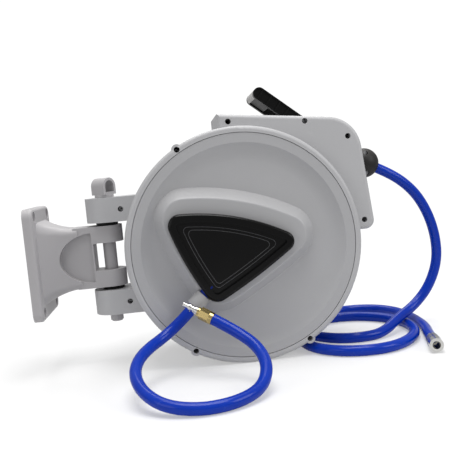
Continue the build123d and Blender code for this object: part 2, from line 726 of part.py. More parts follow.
# ---- hub cover: black, with a raised bead and fine raised lines on its field ----------------
with BuildPart() as hub_cover:
    extrude(drum_plane(PLATEAU_TOP) * cover_outline(0), amount=COVER_TOP - PLATEAU_TOP)
    outer_edges = hub_cover.faces().filter_by(Axis.Y).sort_by(Axis.Y)[0].edges()
    fillet(outer_edges, COVER_ROUND)
    extrude(
        drum_plane(COVER_TOP - COVER_SINK) * cover_outline(-COVER_BEAD),
        amount=COVER_SINK,
        mode=Mode.SUBTRACT,
    )
    extrude(
        drum_plane(COVER_TOP - COVER_SINK) * cover_outline(-COVER_BEAD - COVER_STEP_IN),
        amount=COVER_STEP,
    )
    extrude(
        drum_plane(PLATEAU_TOP) * cover_outline(-COVER_WALL),
        amount=COVER_TOP - COVER_SINK - COVER_WALL - PLATEAU_TOP,
        mode=Mode.SUBTRACT,
    )
    with BuildSketch(drum_plane(PLATEAU_TOP)):
        Circle(ELBOW_R + 2)
    extrude(amount=ELBOW_END - PLATEAU_TOP, mode=Mode.SUBTRACT)
    add(hose_channel.part, mode=Mode.SUBTRACT)
    with BuildSketch(inlet_plane(0)):
        Circle(HOSE_R + CLAMP_T + HOSE_CLEAR)
    extrude(amount=CLAMP_END + 1, mode=Mode.SUBTRACT)
finish(hub_cover, "hub_cover")

# ---- brass inlet: fixed stem, elbow and the seals of the air swivel -------------------------
with BuildPart() as swivel_stem:
    with BuildSketch(drum_plane(STEM_START)):
        Circle(SHAFT_R)
    extrude(amount=STEM_END - STEM_START)
    for place in SEAL_PLACES:
        with BuildSketch(drum_plane(place - SEAL_W / 2)):
            Circle(SHAFT_R)
            Circle(SEAL_R, mode=Mode.SUBTRACT)
        extrude(amount=SEAL_W, mode=Mode.SUBTRACT)
    with BuildSketch(drum_plane((ROTOR_LOW + ROTOR_HIGH) / 2 - AIR_R)):
        Circle(AIR_R)
    extrude(amount=STEM_END, mode=Mode.SUBTRACT)
finish(swivel_stem, "swivel_stem")

with BuildPart() as swivel_seals:
    for place in SEAL_PLACES:
        with BuildSketch(drum_plane(place - SEAL_W / 2)):
            Circle(SHAFT_R)
            Circle(SEAL_R, mode=Mode.SUBTRACT)
        extrude(amount=SEAL_W)
finish(swivel_seals, "swivel_seals")

with BuildPart() as inlet_elbow:
    with BuildSketch(drum_plane(STEM_END)):
        Circle(ELBOW_R)
    extrude(amount=ELBOW_END - STEM_END)
    chamfer(inlet_elbow.edges().group_by(Axis.Y)[0], 1)
    with BuildSketch(inlet_plane(0)):
        Circle(HOSE_BORE)
    extrude(amount=34)
    with BuildSketch(drum_plane(STEM_END - 1)):
        Circle(AIR_R)
    extrude(amount=HOSE_W - STEM_END + 1, mode=Mode.SUBTRACT)
    with BuildSketch(inlet_plane(0)):
        Circle(HOSE_BORE - 1.5)
    extrude(amount=40, mode=Mode.SUBTRACT)
finish(inlet_elbow, "inlet_elbow")

with BuildPart() as inlet_lead:
    with BuildSketch(inlet_plane(ELBOW_R + 4)):
        Circle(HOSE_R)
        Circle(HOSE_BORE, mode=Mode.SUBTRACT)
    extrude(amount=COLLAR_END - ELBOW_R - 4)
finish(inlet_lead, "inlet_lead")

with BuildPart() as inlet_clamp:
    with BuildSketch(inlet_plane(CLAMP_START)):
        Circle(HOSE_R + CLAMP_T)
        Circle(HOSE_R, mode=Mode.SUBTRACT)
    extrude(amount=CLAMP_END - CLAMP_START)
finish(inlet_clamp, "inlet_clamp")

# ---- fixed shaft and spring arbor -----------------------------------------------------------
with BuildPart() as centre_shaft:
    with BuildSketch(drum_plane(-CASE_HALF)):
        Circle(SHAFT_R)
    extrude(amount=CASE_HALF + STEM_START)
    chamfer(centre_shaft.edges().group_by(Axis.Y)[-1], 1)
finish(centre_shaft, "centre_shaft")

with BuildPart() as spring_arbor:
    with BuildSketch(drum_plane(SPRING_FRONT - SPRING_W)):
        Circle(ARBOR_R)
        Circle(SHAFT_R, mode=Mode.SUBTRACT)
    extrude(amount=SPRING_W)
finish(spring_arbor, "spring_arbor")

# ---- rear cap over the end of the shaft -----------------------------------------------------
with BuildPart() as rear_cap:
    with BuildSketch(rear_plane(-CASE_HALF)):
        Circle(REAR_CAP_R)
    extrude(amount=REAR_CAP_T)
    fillet(rear_cap.edges().group_by(Axis.Y)[-1], 4)
    with BuildSketch(rear_plane(-CASE_HALF)):
        Circle(REAR_CAP_R - 3)
    extrude(amount=REAR_CAP_T - 3, mode=Mode.SUBTRACT)
    with BuildSketch(rear_plane(-CASE_HALF)):
        with PolarLocations(REAR_CAP_R - 10, 3, start_angle=30):
            Circle(POST_R - 1)
    extrude(amount=REAR_CAP_T - 3)
    with BuildSketch(rear_plane(-CASE_HALF)):
        with PolarLocations(REAR_CAP_R - 10, 3, start_angle=30):
            Circle(SHANK_R)
    extrude(amount=REAR_CAP_T + 1, mode=Mode.SUBTRACT)
finish(rear_cap, "rear_cap")

with BuildPart() as cap_screws:
    with BuildSketch(rear_plane(-CASE_HALF + WALL)):
        with PolarLocations(REAR_CAP_R - 10, 3, start_angle=30):
            Circle(SHANK_R)
    extrude(amount=REAR_CAP_T + WALL)
    with BuildSketch(rear_plane(-CASE_HALF - REAR_CAP_T)):
        with PolarLocations(REAR_CAP_R - 10, 3, start_angle=30):
            Circle(SCREW_HEAD_R)
    extrude(amount=2)
finish(cap_screws, "cap_screws")


def ring(piece_front, length, outer, inner):
    """Ring about the drum's axis, from so far in front of the middle plane and so long."""
    with BuildPart() as piece:
        with BuildSketch(drum_plane(piece_front)):
            Circle(outer)
            Circle(inner, mode=Mode.SUBTRACT)
        extrude(amount=length)
    return piece.part


# ---- spool: core, two flanges, bushes, ratchet ----------------------------------------------
nipple_plane = Plane(
    origin=(DRUM_X, -(ROTOR_LOW + ROTOR_HIGH) / 2, DRUM_Z), x_dir=(1, 0, 0), z_dir=(0, 0, 1)
)

with BuildPart() as spool_core:
    add(ring(-SPOOL_HALF + FLANGE_T, 2 * (SPOOL_HALF - FLANGE_T), CORE_R, CORE_R - CORE_WALL))
    add(ring(-SPOOL_HALF + FLANGE_T, WEB_T, CORE_R, SPOOL_BUSH_R))
    add(ring(-SPOOL_HALF + FLANGE_T, HUB_LEN, HUB_R, SPOOL_BUSH_R))
    with BuildSketch(drum_plane(SPOOL_HALF - FLANGE_T - WEB_T)):
        with PolarLocations(FLANGE_SCREW_R, FLANGE_SCREWS):
            Circle(POST_R - 1)
    extrude(amount=WEB_T)
    add(ring(SPOOL_HALF - FLANGE_T - WEB_T, WEB_T, CORE_R, FLANGE_SCREW_R - POST_R))
    with BuildSketch(drum_plane(SPOOL_HALF - FLANGE_T - WEB_T)):
        with PolarLocations(FLANGE_SCREW_R, FLANGE_SCREWS):
            Circle(SHANK_R)
    extrude(amount=WEB_T, mode=Mode.SUBTRACT)
    with BuildSketch(nipple_plane):
        Circle(NIPPLE_R)
    extrude(amount=CORE_R + 5, mode=Mode.SUBTRACT)
finish(spool_core, "spool_core")

with BuildPart() as front_flange:
    add(ring(SPOOL_HALF - FLANGE_T, FLANGE_T, FLANGE_R, SPOOL_BUSH_R))
    add(ring(SPOOL_HALF, HUB_LEN - FLANGE_T, HUB_R, SPOOL_BUSH_R))
    with BuildSketch(drum_plane(SPOOL_HALF - FLANGE_T)):
        with PolarLocations(FLANGE_SCREW_R, FLANGE_SCREWS):
            Circle(SHANK_R)
    extrude(amount=FLANGE_T, mode=Mode.SUBTRACT)
finish(front_flange, "front_flange")

with BuildPart() as rear_flange:
    add(ring(-SPOOL_HALF, FLANGE_T, FLANGE_R, SPOOL_BUSH_R))
finish(rear_flange, "rear_flange")

with BuildPart() as flange_screws:
    with BuildSketch(drum_plane(SPOOL_HALF - FLANGE_T - WEB_T)):
        with PolarLocations(FLANGE_SCREW_R, FLANGE_SCREWS):
            Circle(SHANK_R)
    extrude(amount=WEB_T + FLANGE_T)
    with BuildSketch(drum_plane(SPOOL_HALF)):
        with PolarLocations(FLANGE_SCREW_R, FLANGE_SCREWS):
            Circle(SCREW_HEAD_R)
    extrude(amount=2)
finish(flange_screws, "flange_screws")

with BuildPart() as spool_bushes:
    add(ring(-SPOOL_HALF, HUB_LEN + FLANGE_T, SPOOL_BUSH_R, SHAFT_R + SPOOL_FIT))
    add(ring(SPOOL_HALF - FLANGE_T, HUB_LEN, SPOOL_BUSH_R, SHAFT_R + SPOOL_FIT))
finish(spool_bushes, "spool_bushes")

with BuildPart() as ratchet_ring:
    add(ring(-SPOOL_HALF - RATCHET_T, RATCHET_T, RATCHET_R - RATCHET_DEPTH, HUB_R + 8))
    with BuildSketch(drum_plane(-SPOOL_HALF - RATCHET_T)):
        with PolarLocations(0, RATCHET_TEETH, start_angle=RATCHET_PHASE):
            with BuildLine():
                Polyline(
                    (RATCHET_R - RATCHET_DEPTH - 2, -6),
                    (RATCHET_R - RATCHET_DEPTH - 0.5, -6),
                    (RATCHET_R, 2),
                    (RATCHET_R - RATCHET_DEPTH - 2, 3),
                    close=True,
                )
            make_face()
    extrude(amount=RATCHET_T)
finish(ratchet_ring, "ratchet_ring")

# ---- clock spring inside the core and the plate that keeps it in -----------------------------
spring_pitch = (SPRING_OUTER_R - SPRING_INNER_R - SPRING_T) / SPRING_TURNS


def spiral_half_turns(start_radius):
    """Half turns of a spiral about two centres: centre x, radius and side of each."""
    for step in range(2 * SPRING_TURNS):
        yield (step % 2) * spring_pitch / 2, start_radius + step * spring_pitch / 2, 1 - 2 * (step % 2)


with BuildPart() as clock_spring:
    with BuildSketch(drum_plane(SPRING_FRONT - SPRING_W)):
        with BuildLine():
            for shift in (0, SPRING_T):
                for centre_x, radius, side in spiral_half_turns(SPRING_INNER_R + shift):
                    ThreePointArc(
                        (centre_x + side * radius, 0),
                        (centre_x, side * radius),
                        (centre_x - side * radius, 0),
                    )
            Line((SPRING_INNER_R, 0), (SPRING_INNER_R + SPRING_T, 0))
            spring_end = SPRING_INNER_R + SPRING_TURNS * spring_pitch
            Line((spring_end, 0), (spring_end + SPRING_T, 0))
        make_face()
    extrude(amount=SPRING_W)
finish(clock_spring, "clock_spring")

with BuildPart() as spring_cover:
    add(ring(SPRING_FRONT + 1, 2, CORE_R - CORE_WALL, HUB_R))
finish(spring_cover, "spring_cover")

with BuildPart() as swivel_rotor:
    add(ring(ROTOR_LOW, ROTOR_HIGH - ROTOR_LOW, ROTOR_R, SHAFT_R + SPOOL_FIT))
    with BuildSketch(nipple_plane.offset(ROTOR_R - 2)):
        Circle(NIPPLE_R)
    extrude(amount=CORE_R - ROTOR_R + 2)
    with BuildSketch(nipple_plane):
        Circle(NIPPLE_R - 1.5)
    extrude(amount=CORE_R + 1, mode=Mode.SUBTRACT)
finish(swivel_rotor, "swivel_rotor")

# ---- hose wound on the spool, and its straight run to the outlet ------------------------------
with BuildPart() as wound_hose:
    inner_layer = LEAD_R - (LAYERS - 1) * LAYER_PITCH
    half_across = (TURNS_ACROSS - 1) / 2 * TURN_PITCH
    with BuildSketch(profile_plane):
        with Locations(((inner_layer + LEAD_R) / 2, 0)):
            Rectangle(LEAD_R - inner_layer + 2 * HOSE_R - 6, 2 * half_across)
        with Locations(((inner_layer + LEAD_R) / 2, 0)):
            with GridLocations(LAYER_PITCH, TURN_PITCH, LAYERS, TURNS_ACROSS):
                Circle(HOSE_R)
    revolve(axis=drum_axis)
finish(wound_hose, "wound_hose")

with BuildPart() as hose_lead:
    with BuildSketch(lead_plane(LEAD_CUT)):
        Circle(HOSE_R)
    extrude(amount=BALL_S - LEAD_CUT - LEAD_STOP)
    add(ring(-SPOOL_HALF, 2 * SPOOL_HALF, LEAD_R + HOSE_R + 0.6, 1), mode=Mode.SUBTRACT)
finish(hose_lead, "hose_lead")

# ---- latch pawl, its pin and return spring ----------------------------------------------------
pawl_back = -SPOOL_HALF - PAWL_GAP - PAWL_T
with BuildPart() as latch_pawl:
    with BuildSketch(drum_plane(pawl_back)):
        with Locations(PAWL_PIVOT):
            Circle(PAWL_PIN_R + 3)
        with BuildLine():
            Polyline(
                (PAWL_PIVOT[0] - 5, PAWL_PIVOT[1] + 2),
                (PAWL_PIVOT[0] + PAWL_TIP[0] - 2, PAWL_PIVOT[1] + PAWL_TIP[1] - 2),
                (PAWL_PIVOT[0] + PAWL_TIP[0], PAWL_PIVOT[1] + PAWL_TIP[1]),
                (PAWL_PIVOT[0] + 3, PAWL_PIVOT[1] + 5),
                close=True,
            )
        make_face()
        with Locations(PAWL_PIVOT):
            Circle(PAWL_PIN_R + SPOOL_FIT, mode=Mode.SUBTRACT)
    extrude(amount=PAWL_T)
finish(latch_pawl, "latch_pawl")

with BuildPart() as pawl_pin:
    with BuildSketch(drum_plane(-CASE_HALF)):
        with Locations(PAWL_PIVOT):
            Circle(PAWL_PIN_R)
    extrude(amount=CASE_HALF - SPOOL_HALF - PAWL_GAP)
finish(pawl_pin, "pawl_pin")

latch_spring_back = pawl_back - LATCH_SPRING_LEN - 1
with BuildPart() as latch_spring:
    with BuildLine() as latch_wire:
        Helix(
            pitch=LATCH_SPRING_LEN / 4,
            height=LATCH_SPRING_LEN,
            radius=PAWL_PIN_R + 1.2,
            center=(DRUM_X + PAWL_PIVOT[0], -latch_spring_back, DRUM_Z + PAWL_PIVOT[1]),
            direction=(0, -1, 0),
        )
    with BuildSketch(Plane(origin=latch_wire.line @ 0, z_dir=latch_wire.line % 0)):
        Circle(LATCH_WIRE_R)
    sweep()
finish(latch_spring, "latch_spring")

# ---- hose outlet: bezel, roller cage, rollers and their pins -----------------------------------
LEAD_TILT = radians(LEAD_SLOPE + BOX_LEAN)


def hose_height_in_cage(depth):
    """Height of the hose's centre over the outlet's middle, so deep behind the face."""
    return depth * tan(LEAD_TILT)


side_depth = WALL + SIDE_ROLLERS_IN
flat_depth = WALL + FLAT_ROLLERS_IN
side_reach = HOSE_R + ROLLER_GAP + ROLLER_R
flat_reach = HOSE_R / cos(LEAD_TILT) + ROLLER_GAP + ROLLER_R
flat_middle = hose_height_in_cage(flat_depth)

with BuildPart() as outlet_bezel:
    with BuildSketch(face_plane(0)):
        Circle(BEZEL_R)
    extrude(amount=BEZEL_T)
    chamfer(outlet_bezel.edges().group_by(Axis.X)[-1], 1)
    with BuildSketch(face_plane(0)):
        Circle(OUTLET_R)
    extrude(amount=BEZEL_T, mode=Mode.SUBTRACT)
    with Locations(lead_plane(BALL_S).origin):
        Sphere(BALL_R + BALL_GAP, mode=Mode.SUBTRACT)
finish(outlet_bezel, "outlet_bezel")

def roller_planes():
    """Name, middle plane across its axis and half length of each roller in the cage."""
    up = face_plane(0).y_dir
    for name, side in (("roller_front", -1), ("roller_back", 1)):
        middle = face_plane(-side_depth).origin + Vector(0, side * side_reach, 0) + up * CAGE_SHIFT
        yield name, Plane(origin=middle, x_dir=(0, 1, 0), z_dir=up), CAGE_UP - CAGE_T
    for name, side in (("roller_top", 1), ("roller_bottom", -1)):
        middle = face_plane(-flat_depth).origin + up * (flat_middle + side * flat_reach)
        yield name, Plane(origin=middle, x_dir=(1, 0, 0), z_dir=(0, 1, 0)), CAGE_SIDE - CAGE_T


def roller_pin(plane, half, radius):
    """Pin through a roller, or the hole for it, into both walls of the cage."""
    with BuildPart() as pin:
        with BuildSketch(plane.offset(-half - CAGE_T)):
            Circle(radius)
        extrude(amount=2 * (half + CAGE_T))
    return pin.part


with BuildPart() as roller_cage:
    with BuildSketch(face_plane(-WALL)):
        with Locations((0, CAGE_SHIFT)):
            Rectangle(2 * CAGE_SIDE, 2 * CAGE_UP)
            Rectangle(2 * (CAGE_SIDE - CAGE_T), 2 * (CAGE_UP - CAGE_T), mode=Mode.SUBTRACT)
    extrude(amount=-CAGE_LEN)
    for _, plane, half in roller_planes():
        add(roller_pin(plane, half, ROLLER_PIN_R), mode=Mode.SUBTRACT)
finish(roller_cage, "roller_cage")

with BuildPart() as roller_pins:
    for _, plane, half in roller_planes():
        add(roller_pin(plane, half, ROLLER_PIN_R))
finish(roller_pins, "roller_pins")

for roller_name, plane, half in roller_planes():
    with BuildPart() as roller:
        with BuildSketch(plane.offset(-half + ROLLER_END_GAP)):
            Circle(ROLLER_R)
            Circle(ROLLER_PIN_R + ROLLER_FIT, mode=Mode.SUBTRACT)
        extrude(amount=2 * (half - ROLLER_END_GAP))
    finish(roller, roller_name)

# ---- stop ball on the hose: two halves and their screws ----------------------------------------
ball_middle = lead_plane(BALL_S).origin
exit_turn = radians(EXIT_DROP)
exit_plane = Plane(
    origin=ball_middle, x_dir=(0, 1, 0), z_dir=(cos(exit_turn), 0, -sin(exit_turn))
)

with BuildPart() as ball_bore:
    with BuildSketch(lead_plane(BALL_S - BALL_R - 1)):
        Circle(HOSE_R)
    extrude(amount=BALL_R + 1)
    with BuildSketch(exit_plane):
        Circle(HOSE_R)
    extrude(amount=BALL_R + 1)
    Sphere(HOSE_R, mode=Mode.PRIVATE)

with BuildPart() as ball_screw_holes:
    with BuildSketch(Plane.XZ.offset(-BALL_R)):
        for side in (1, -1):
            with Locations((ball_middle.X, ball_middle.Z + side * BALL_SCREW_OUT)):
                Circle(BALL_SCREW_R)
    extrude(amount=2 * BALL_R)
    with BuildSketch(Plane.XZ.offset(BALL_SCREW_SEAT)):
        for side in (1, -1):
            with Locations((ball_middle.X, ball_middle.Z + side * BALL_SCREW_OUT)):
                Circle(BALL_SCREW_HEAD_R)
    extrude(amount=BALL_R)

for half_name, kept_side in (("stop_ball_front", Keep.TOP), ("stop_ball_back", Keep.BOTTOM)):
    with BuildPart() as ball_half:
        with Locations(ball_middle):
            Sphere(BALL_R)
        add(ball_bore.part, mode=Mode.SUBTRACT)
        add(ball_screw_holes.part, mode=Mode.SUBTRACT)
        split(bisect_by=Plane.XZ, keep=kept_side)
    finish(ball_half, half_name)

with BuildPart() as ball_screws:
    for side in (1, -1):
        place = (ball_middle.X, ball_middle.Z + side * BALL_SCREW_OUT)
        with BuildSketch(Plane.XZ.offset(-BALL_SCREW_SEAT)):
            with Locations(place):
                Circle(BALL_SCREW_R)
        extrude(amount=2 * BALL_SCREW_SEAT)
        with BuildSketch(Plane.XZ.offset(BALL_SCREW_SEAT)):
            with Locations(place):
                Circle(BALL_SCREW_HEAD_R)
        extrude(amount=2)
finish(ball_screws, "ball_screws")

# ---- carry handle --------------------------------------------------------------------------------
rise = radians(HANDLE_RISE)


def handle_plane(front):
    """Plane along the handle: its x runs from the hinge to the grip, and its y downwards."""
    return Plane(
        origin=(HANDLE_X, -front, HANDLE_Z), x_dir=(-cos(rise), 0, sin(rise)), z_dir=(0, -1, 0)
    )


def grip_profile(radius):
    """Side profile of the grip: a round nose with a straight body towards the hinge."""
    with BuildSketch(Plane.XY) as profile:
        with Locations((HANDLE_LEN, 0)):
            Circle(radius)
        with Locations((HANDLE_LEN - GRIP_LEN / 2, 0)):
            Rectangle(GRIP_LEN, 2 * radius)
    return profile.sketch


with BuildPart() as handle_frame:
    for start in (-HANDLE_HALF, HANDLE_HALF - HANDLE_ARM_W):
        with BuildSketch(handle_plane(start)):
            with Locations((HANDLE_LEN / 2, 0)):
                SlotCenterToCenter(HANDLE_LEN, 2 * HANDLE_R)
        extrude(amount=HANDLE_ARM_W)
    extrude(handle_plane(-HANDLE_HALF + 1) * grip_profile(HANDLE_R - GRIP_T), amount=2 * HANDLE_HALF - 2)
    for start, depth in ((HANDLE_HALF, -HANDLE_RECESS), (-HANDLE_HALF, HANDLE_RECESS)):
        with BuildSketch(handle_plane(start)):
            with Locations((HANDLE_LEN / 2 + 6, 0)):
                SlotCenterToCenter(HANDLE_LEN - 12, 2 * (HANDLE_R - HANDLE_LIP))
            with Locations(*[(place, 0) for place in HANDLE_RIBS]):
                Rectangle(1.6, 2 * HANDLE_R, mode=Mode.SUBTRACT)
        extrude(amount=depth, mode=Mode.SUBTRACT)
    with BuildSketch(handle_plane(-HANDLE_HALF)):
        Circle(HANDLE_ROD_R + HANDLE_FIT)
    extrude(amount=2 * HANDLE_HALF, mode=Mode.SUBTRACT)
finish(handle_frame, "handle_frame")

with BuildPart() as handle_grip:
    grip_start = -HANDLE_HALF + HANDLE_ARM_W
    extrude(handle_plane(grip_start) * grip_profile(HANDLE_R), amount=-2 * grip_start)
    extrude(
        handle_plane(grip_start) * grip_profile(HANDLE_R - GRIP_T),
        amount=-2 * grip_start,
        mode=Mode.SUBTRACT,
    )
    with BuildSketch(handle_plane(grip_start)):
        with Locations((HANDLE_LEN - GRIP_LEN / 2 - 5, HANDLE_R)):
            Rectangle(GRIP_LEN + 12, 2 * HANDLE_R)
        with Locations((HANDLE_LEN - GRIP_LEN, 0)):
            Rectangle(3, 4 * HANDLE_R)
    extrude(amount=-2 * grip_start, mode=Mode.SUBTRACT)
finish(handle_grip, "handle_grip")

with BuildPart() as handle_rod:
    with BuildSketch(Plane.XZ.offset(-BOX_HALF + HANDLE_ROD_IN)):
        with Locations((HANDLE_X, HANDLE_Z)):
            Circle(HANDLE_ROD_R)
    extrude(amount=2 * (BOX_HALF - HANDLE_ROD_IN))
finish(handle_rod, "handle_rod")

# ---- hoses that lie free ----------------------------------------------------------------------------
FLOOR_HOSE = FLOOR_Z + HOSE_R


def free_hose(points):
    """Round hose through hand-set points: straight runs with the largest arcs they allow."""
    vectors = [Vector(*point) for point in points]
    runs = [after - before for before, after in zip(vectors, vectors[1:])]
    radii = []
    for before, after in zip(runs, runs[1:]):
        turn = radians(before.get_angle(after))
        radii.append(0.45 * min(before.length, after.length) / tan(turn / 2))
    print("hose radii", [round(radius) for radius in radii])
    with BuildPart() as hose:
        with BuildLine() as path:
            FilletPolyline(*points, radius=radii)
        with BuildSketch(Plane(origin=path.line @ 0, z_dir=path.line % 0)):
            Circle(HOSE_R)
        sweep()
    length = sum(edge.length for edge in path.line.edges())
    print("hose length", round(length), "volume over section", round(hose.part.volume / (pi * HOSE_R**2)))
    return hose


inlet_start = inlet_plane(COLLAR_END).origin
inlet_first = inlet_plane(COLLAR_END + FIRST_INLET_RUN).origin
INLET_ROUTE = (
    (inlet_start.X, inlet_start.Y, inlet_start.Z),
    (inlet_first.X, inlet_first.Y, inlet_first.Z),
    (169, -107.5, -99),
    (147, -131, -107),
    (135, -161, -114),
    (134, -194, -122),
    (145, -225, -132),
    (168, -248, -141),
    (201, -258, FLOOR_HOSE),
    (234, -254, FLOOR_HOSE),
    (262, -237, -143),
    (279, -217, -137.5),
    (287, -191, -124),
    (280, -162, -109),
    (257, -140, -93),
    (231.3, -128, -78.5),
)
exit_first = exit_plane.offset(FIRST_OUTLET_RUN).origin
OUTLET_ROUTE = (
    (ball_middle.X, 0, ball_middle.Z),
    (exit_first.X, 0, exit_first.Z),
    (542, 6, 52),
    (564, 12, 18),
    (577, 18, -21),
    (579, 22, -60),
    (564, 22, -97),
    (538, 16, -122),
    (506, -4, -133),
    (472, -36, FLOOR_HOSE),
    (437, -47, FLOOR_HOSE),
    (403, -38, FLOOR_HOSE),
    (379, -13, FLOOR_HOSE),
    (370, 21, FLOOR_HOSE),
    (379, 54, FLOOR_HOSE),
    (403, 78, FLOOR_HOSE),
    (437, 87, FLOOR_HOSE),
    (473, 77, FLOOR_HOSE),
    (502, 52, FLOOR_HOSE),
    (518, 17, FLOOR_HOSE),
    (521, -22, FLOOR_HOSE),
    (510, -60, FLOOR_HOSE),
    (486, -92, FLOOR_HOSE),
    (457, -110, FLOOR_HOSE),
    (423, -112, FLOOR_HOSE),
    (391, -100, FLOOR_HOSE),
    (367, -75, FLOOR_HOSE),
    (357, -42, FLOOR_HOSE),
    (357, -4, FLOOR_HOSE),
    (363, 36, FLOOR_HOSE),
    (378, 75, FLOOR_HOSE),
    (403, 108, FLOOR_HOSE),
    (438, 129, FLOOR_HOSE),
    (476, 133, FLOOR_HOSE),
    (509, 118, FLOOR_HOSE),
    (530, 87, FLOOR_HOSE),
    (538, 48, FLOOR_HOSE),
    (539, 8, FLOOR_HOSE),
    (536, -31, FLOOR_HOSE),
    (526.5, -66, -144.3),
    (519, -99, -142.9),
)
inlet_hose = free_hose(INLET_ROUTE)
finish(inlet_hose, "inlet_hose")
outlet_hose = free_hose(OUTLET_ROUTE)
finish(outlet_hose, "outlet_hose")


# ---- brass socket and chrome plug on the inlet hose ------------------------------------------------
def end_plane(route, along):
    """Plane square to the end of a hose's route, so far beyond it, facing outwards."""
    last = Vector(*route[-1])
    heading = (last - Vector(*route[-2])).normalized()
    return Plane(origin=last + heading * along, z_dir=heading)


def stacked_rings(route, rings):
    """Round steps beyond a hose's end, each with its start, end, outer and inner radius."""
    with BuildPart() as stack:
        for start, end, outer, inner in rings:
            with BuildSketch(end_plane(route, start)):
                Circle(outer)
                Circle(inner, mode=Mode.SUBTRACT)
            extrude(amount=end - start)
    return stack.part


hex_start = SOCKET_CUFF_LEN
nose_start = hex_start + SOCKET_HEX_LEN
socket_len = nose_start + SOCKET_NOSE_LEN
with BuildPart() as inlet_socket:
    add(
        stacked_rings(
            INLET_ROUTE,
            (
                (0, hex_start, SOCKET_CUFF_R, PLUG_BODY_R),
                (nose_start, socket_len, SOCKET_NOSE_R, PLUG_BODY_R),
            ),
        )
    )
    with BuildSketch(end_plane(INLET_ROUTE, hex_start)):
        RegularPolygon(HEX_FLATS / 2, 6, major_radius=False)
        Circle(PLUG_BODY_R, mode=Mode.SUBTRACT)
    extrude(amount=SOCKET_HEX_LEN)
finish(inlet_socket, "inlet_socket")

with BuildPart() as plug_nipple:
    add(
        stacked_rings(
            INLET_ROUTE,
            (
                (hex_start + 3, socket_len, PLUG_BODY_R, PLUG_BORE_R),
                (socket_len, socket_len + 3, PLUG_FLANGE_R, PLUG_BORE_R),
                (socket_len + 3, socket_len + 10, PLUG_BODY_R, PLUG_BORE_R),
                (socket_len + 10, socket_len + 12.5, PLUG_RIDGE_R, PLUG_BORE_R),
                (socket_len + 12.5, socket_len + 21, PLUG_TIP_R, PLUG_BORE_R),
            ),
        )
    )
finish(plug_nipple, "plug_nipple")

# ---- quick coupler on the outlet hose ----------------------------------------------------------------
guide_start = COUPLER_LEN - COUPLER_GUIDE_LEN
with BuildPart() as coupler_body:
    add(
        stacked_rings(
            OUTLET_ROUTE,
            (
                (0, COUPLER_COLLAR_LEN, COUPLER_COLLAR_R, PLUG_BODY_R),
                (COUPLER_COLLAR_LEN, guide_start, COUPLER_BODY_R, COUPLER_BORE_R),
                (guide_start, COUPLER_LEN, SLEEVE_BORE_R - SLEEVE_FIT, COUPLER_BORE_R),
            ),
        )
    )
finish(coupler_body, "coupler_body")

with BuildPart() as coupler_sleeve:
    lip_end = SLEEVE_START + SLEEVE_LIP
    add(
        stacked_rings(
            OUTLET_ROUTE,
            (
                (SLEEVE_START, lip_end, SLEEVE_R, COUPLER_BODY_R + SLEEVE_FIT),
                (lip_end, COUPLER_LEN, SLEEVE_R, SLEEVE_BORE_R),
            ),
        )
    )
finish(coupler_sleeve, "coupler_sleeve")

coil_start = lip_end + 2 * COUPLER_WIRE_R
coil_len = guide_start - coil_start - 2 * COUPLER_WIRE_R
coil_frame = end_plane(OUTLET_ROUTE, coil_start)
with BuildPart() as coupler_spring:
    with BuildLine() as coupler_wire:
        Helix(
            pitch=coil_len / 7,
            height=coil_len,
            radius=(COUPLER_BODY_R + SLEEVE_BORE_R) / 2,
            center=coil_frame.origin,
            direction=coil_frame.z_dir,
        )
    with BuildSketch(Plane(origin=coupler_wire.line @ 0, z_dir=coupler_wire.line % 0)):
        Circle(COUPLER_WIRE_R)
    sweep()
finish(coupler_spring, "coupler_spring")
print("coupler axis", tuple(end_plane(OUTLET_ROUTE, 0).z_dir))
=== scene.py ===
"""Looks of a wall-mounted, spring-rewind air hose reel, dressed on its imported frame."""

import logging
import math
from dataclasses import dataclass
from enum import Enum
from typing import Callable, Sequence

import bpy
from mathutils import Matrix, Vector


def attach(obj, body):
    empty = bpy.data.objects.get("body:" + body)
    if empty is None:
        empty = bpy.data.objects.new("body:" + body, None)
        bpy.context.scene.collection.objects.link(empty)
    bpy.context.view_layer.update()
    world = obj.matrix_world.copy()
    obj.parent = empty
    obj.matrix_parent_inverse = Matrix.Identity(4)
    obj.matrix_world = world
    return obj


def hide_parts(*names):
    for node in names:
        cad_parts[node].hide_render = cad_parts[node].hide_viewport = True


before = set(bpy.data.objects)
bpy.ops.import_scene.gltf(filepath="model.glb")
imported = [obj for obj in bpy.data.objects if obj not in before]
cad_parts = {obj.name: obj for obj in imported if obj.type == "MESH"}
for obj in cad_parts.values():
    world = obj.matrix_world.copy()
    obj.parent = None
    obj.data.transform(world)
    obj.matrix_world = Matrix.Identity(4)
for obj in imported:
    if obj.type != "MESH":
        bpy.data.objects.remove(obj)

LOG = logging.getLogger("hose_reel")
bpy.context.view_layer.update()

Colour = tuple[float, float, float]
Point = tuple[float, float, float]
Place = tuple[float, float]

DRUM_AXIS_X = 0.283
DRUM_AXIS_Z = 0.003
FLOOR_Z = -0.152
HOSE_R = 0.00725
FLOOR_HOSE = FLOOR_Z + HOSE_R
INLET_TURN = math.radians(-136.5)  # direction of the lead-in hose, seen from the drum's axis
INLET_FRONT = 0.097  # the lead-in hose's line in front of the casing's middle plane
INLET_REACH = 0.100  # from the drum's axis to the lead-in hose's collar
INLET_RUN = 0.026  # straight run beyond the collar
STOP_BALL = (0.471153, 0.0, 0.095238)  # middle of the hose stop's ball
OUTLET_TURN = math.radians(24.0)  # fall of the hose as it leaves the ball
OUTLET_RUN = 0.038  # straight run from the ball's middle


def linear(red: float, green: float, blue: float) -> Colour:
    """Turns a display colour into the linear colour a shader wants.

    Args:
        red: Red from 0 to 255.
        green: Green from 0 to 255.
        blue: Blue from 0 to 255.

    Returns:
        The three linear values from 0 to 1.
    """
    return tuple((value / 255.0) ** 2.2 for value in (red, green, blue))


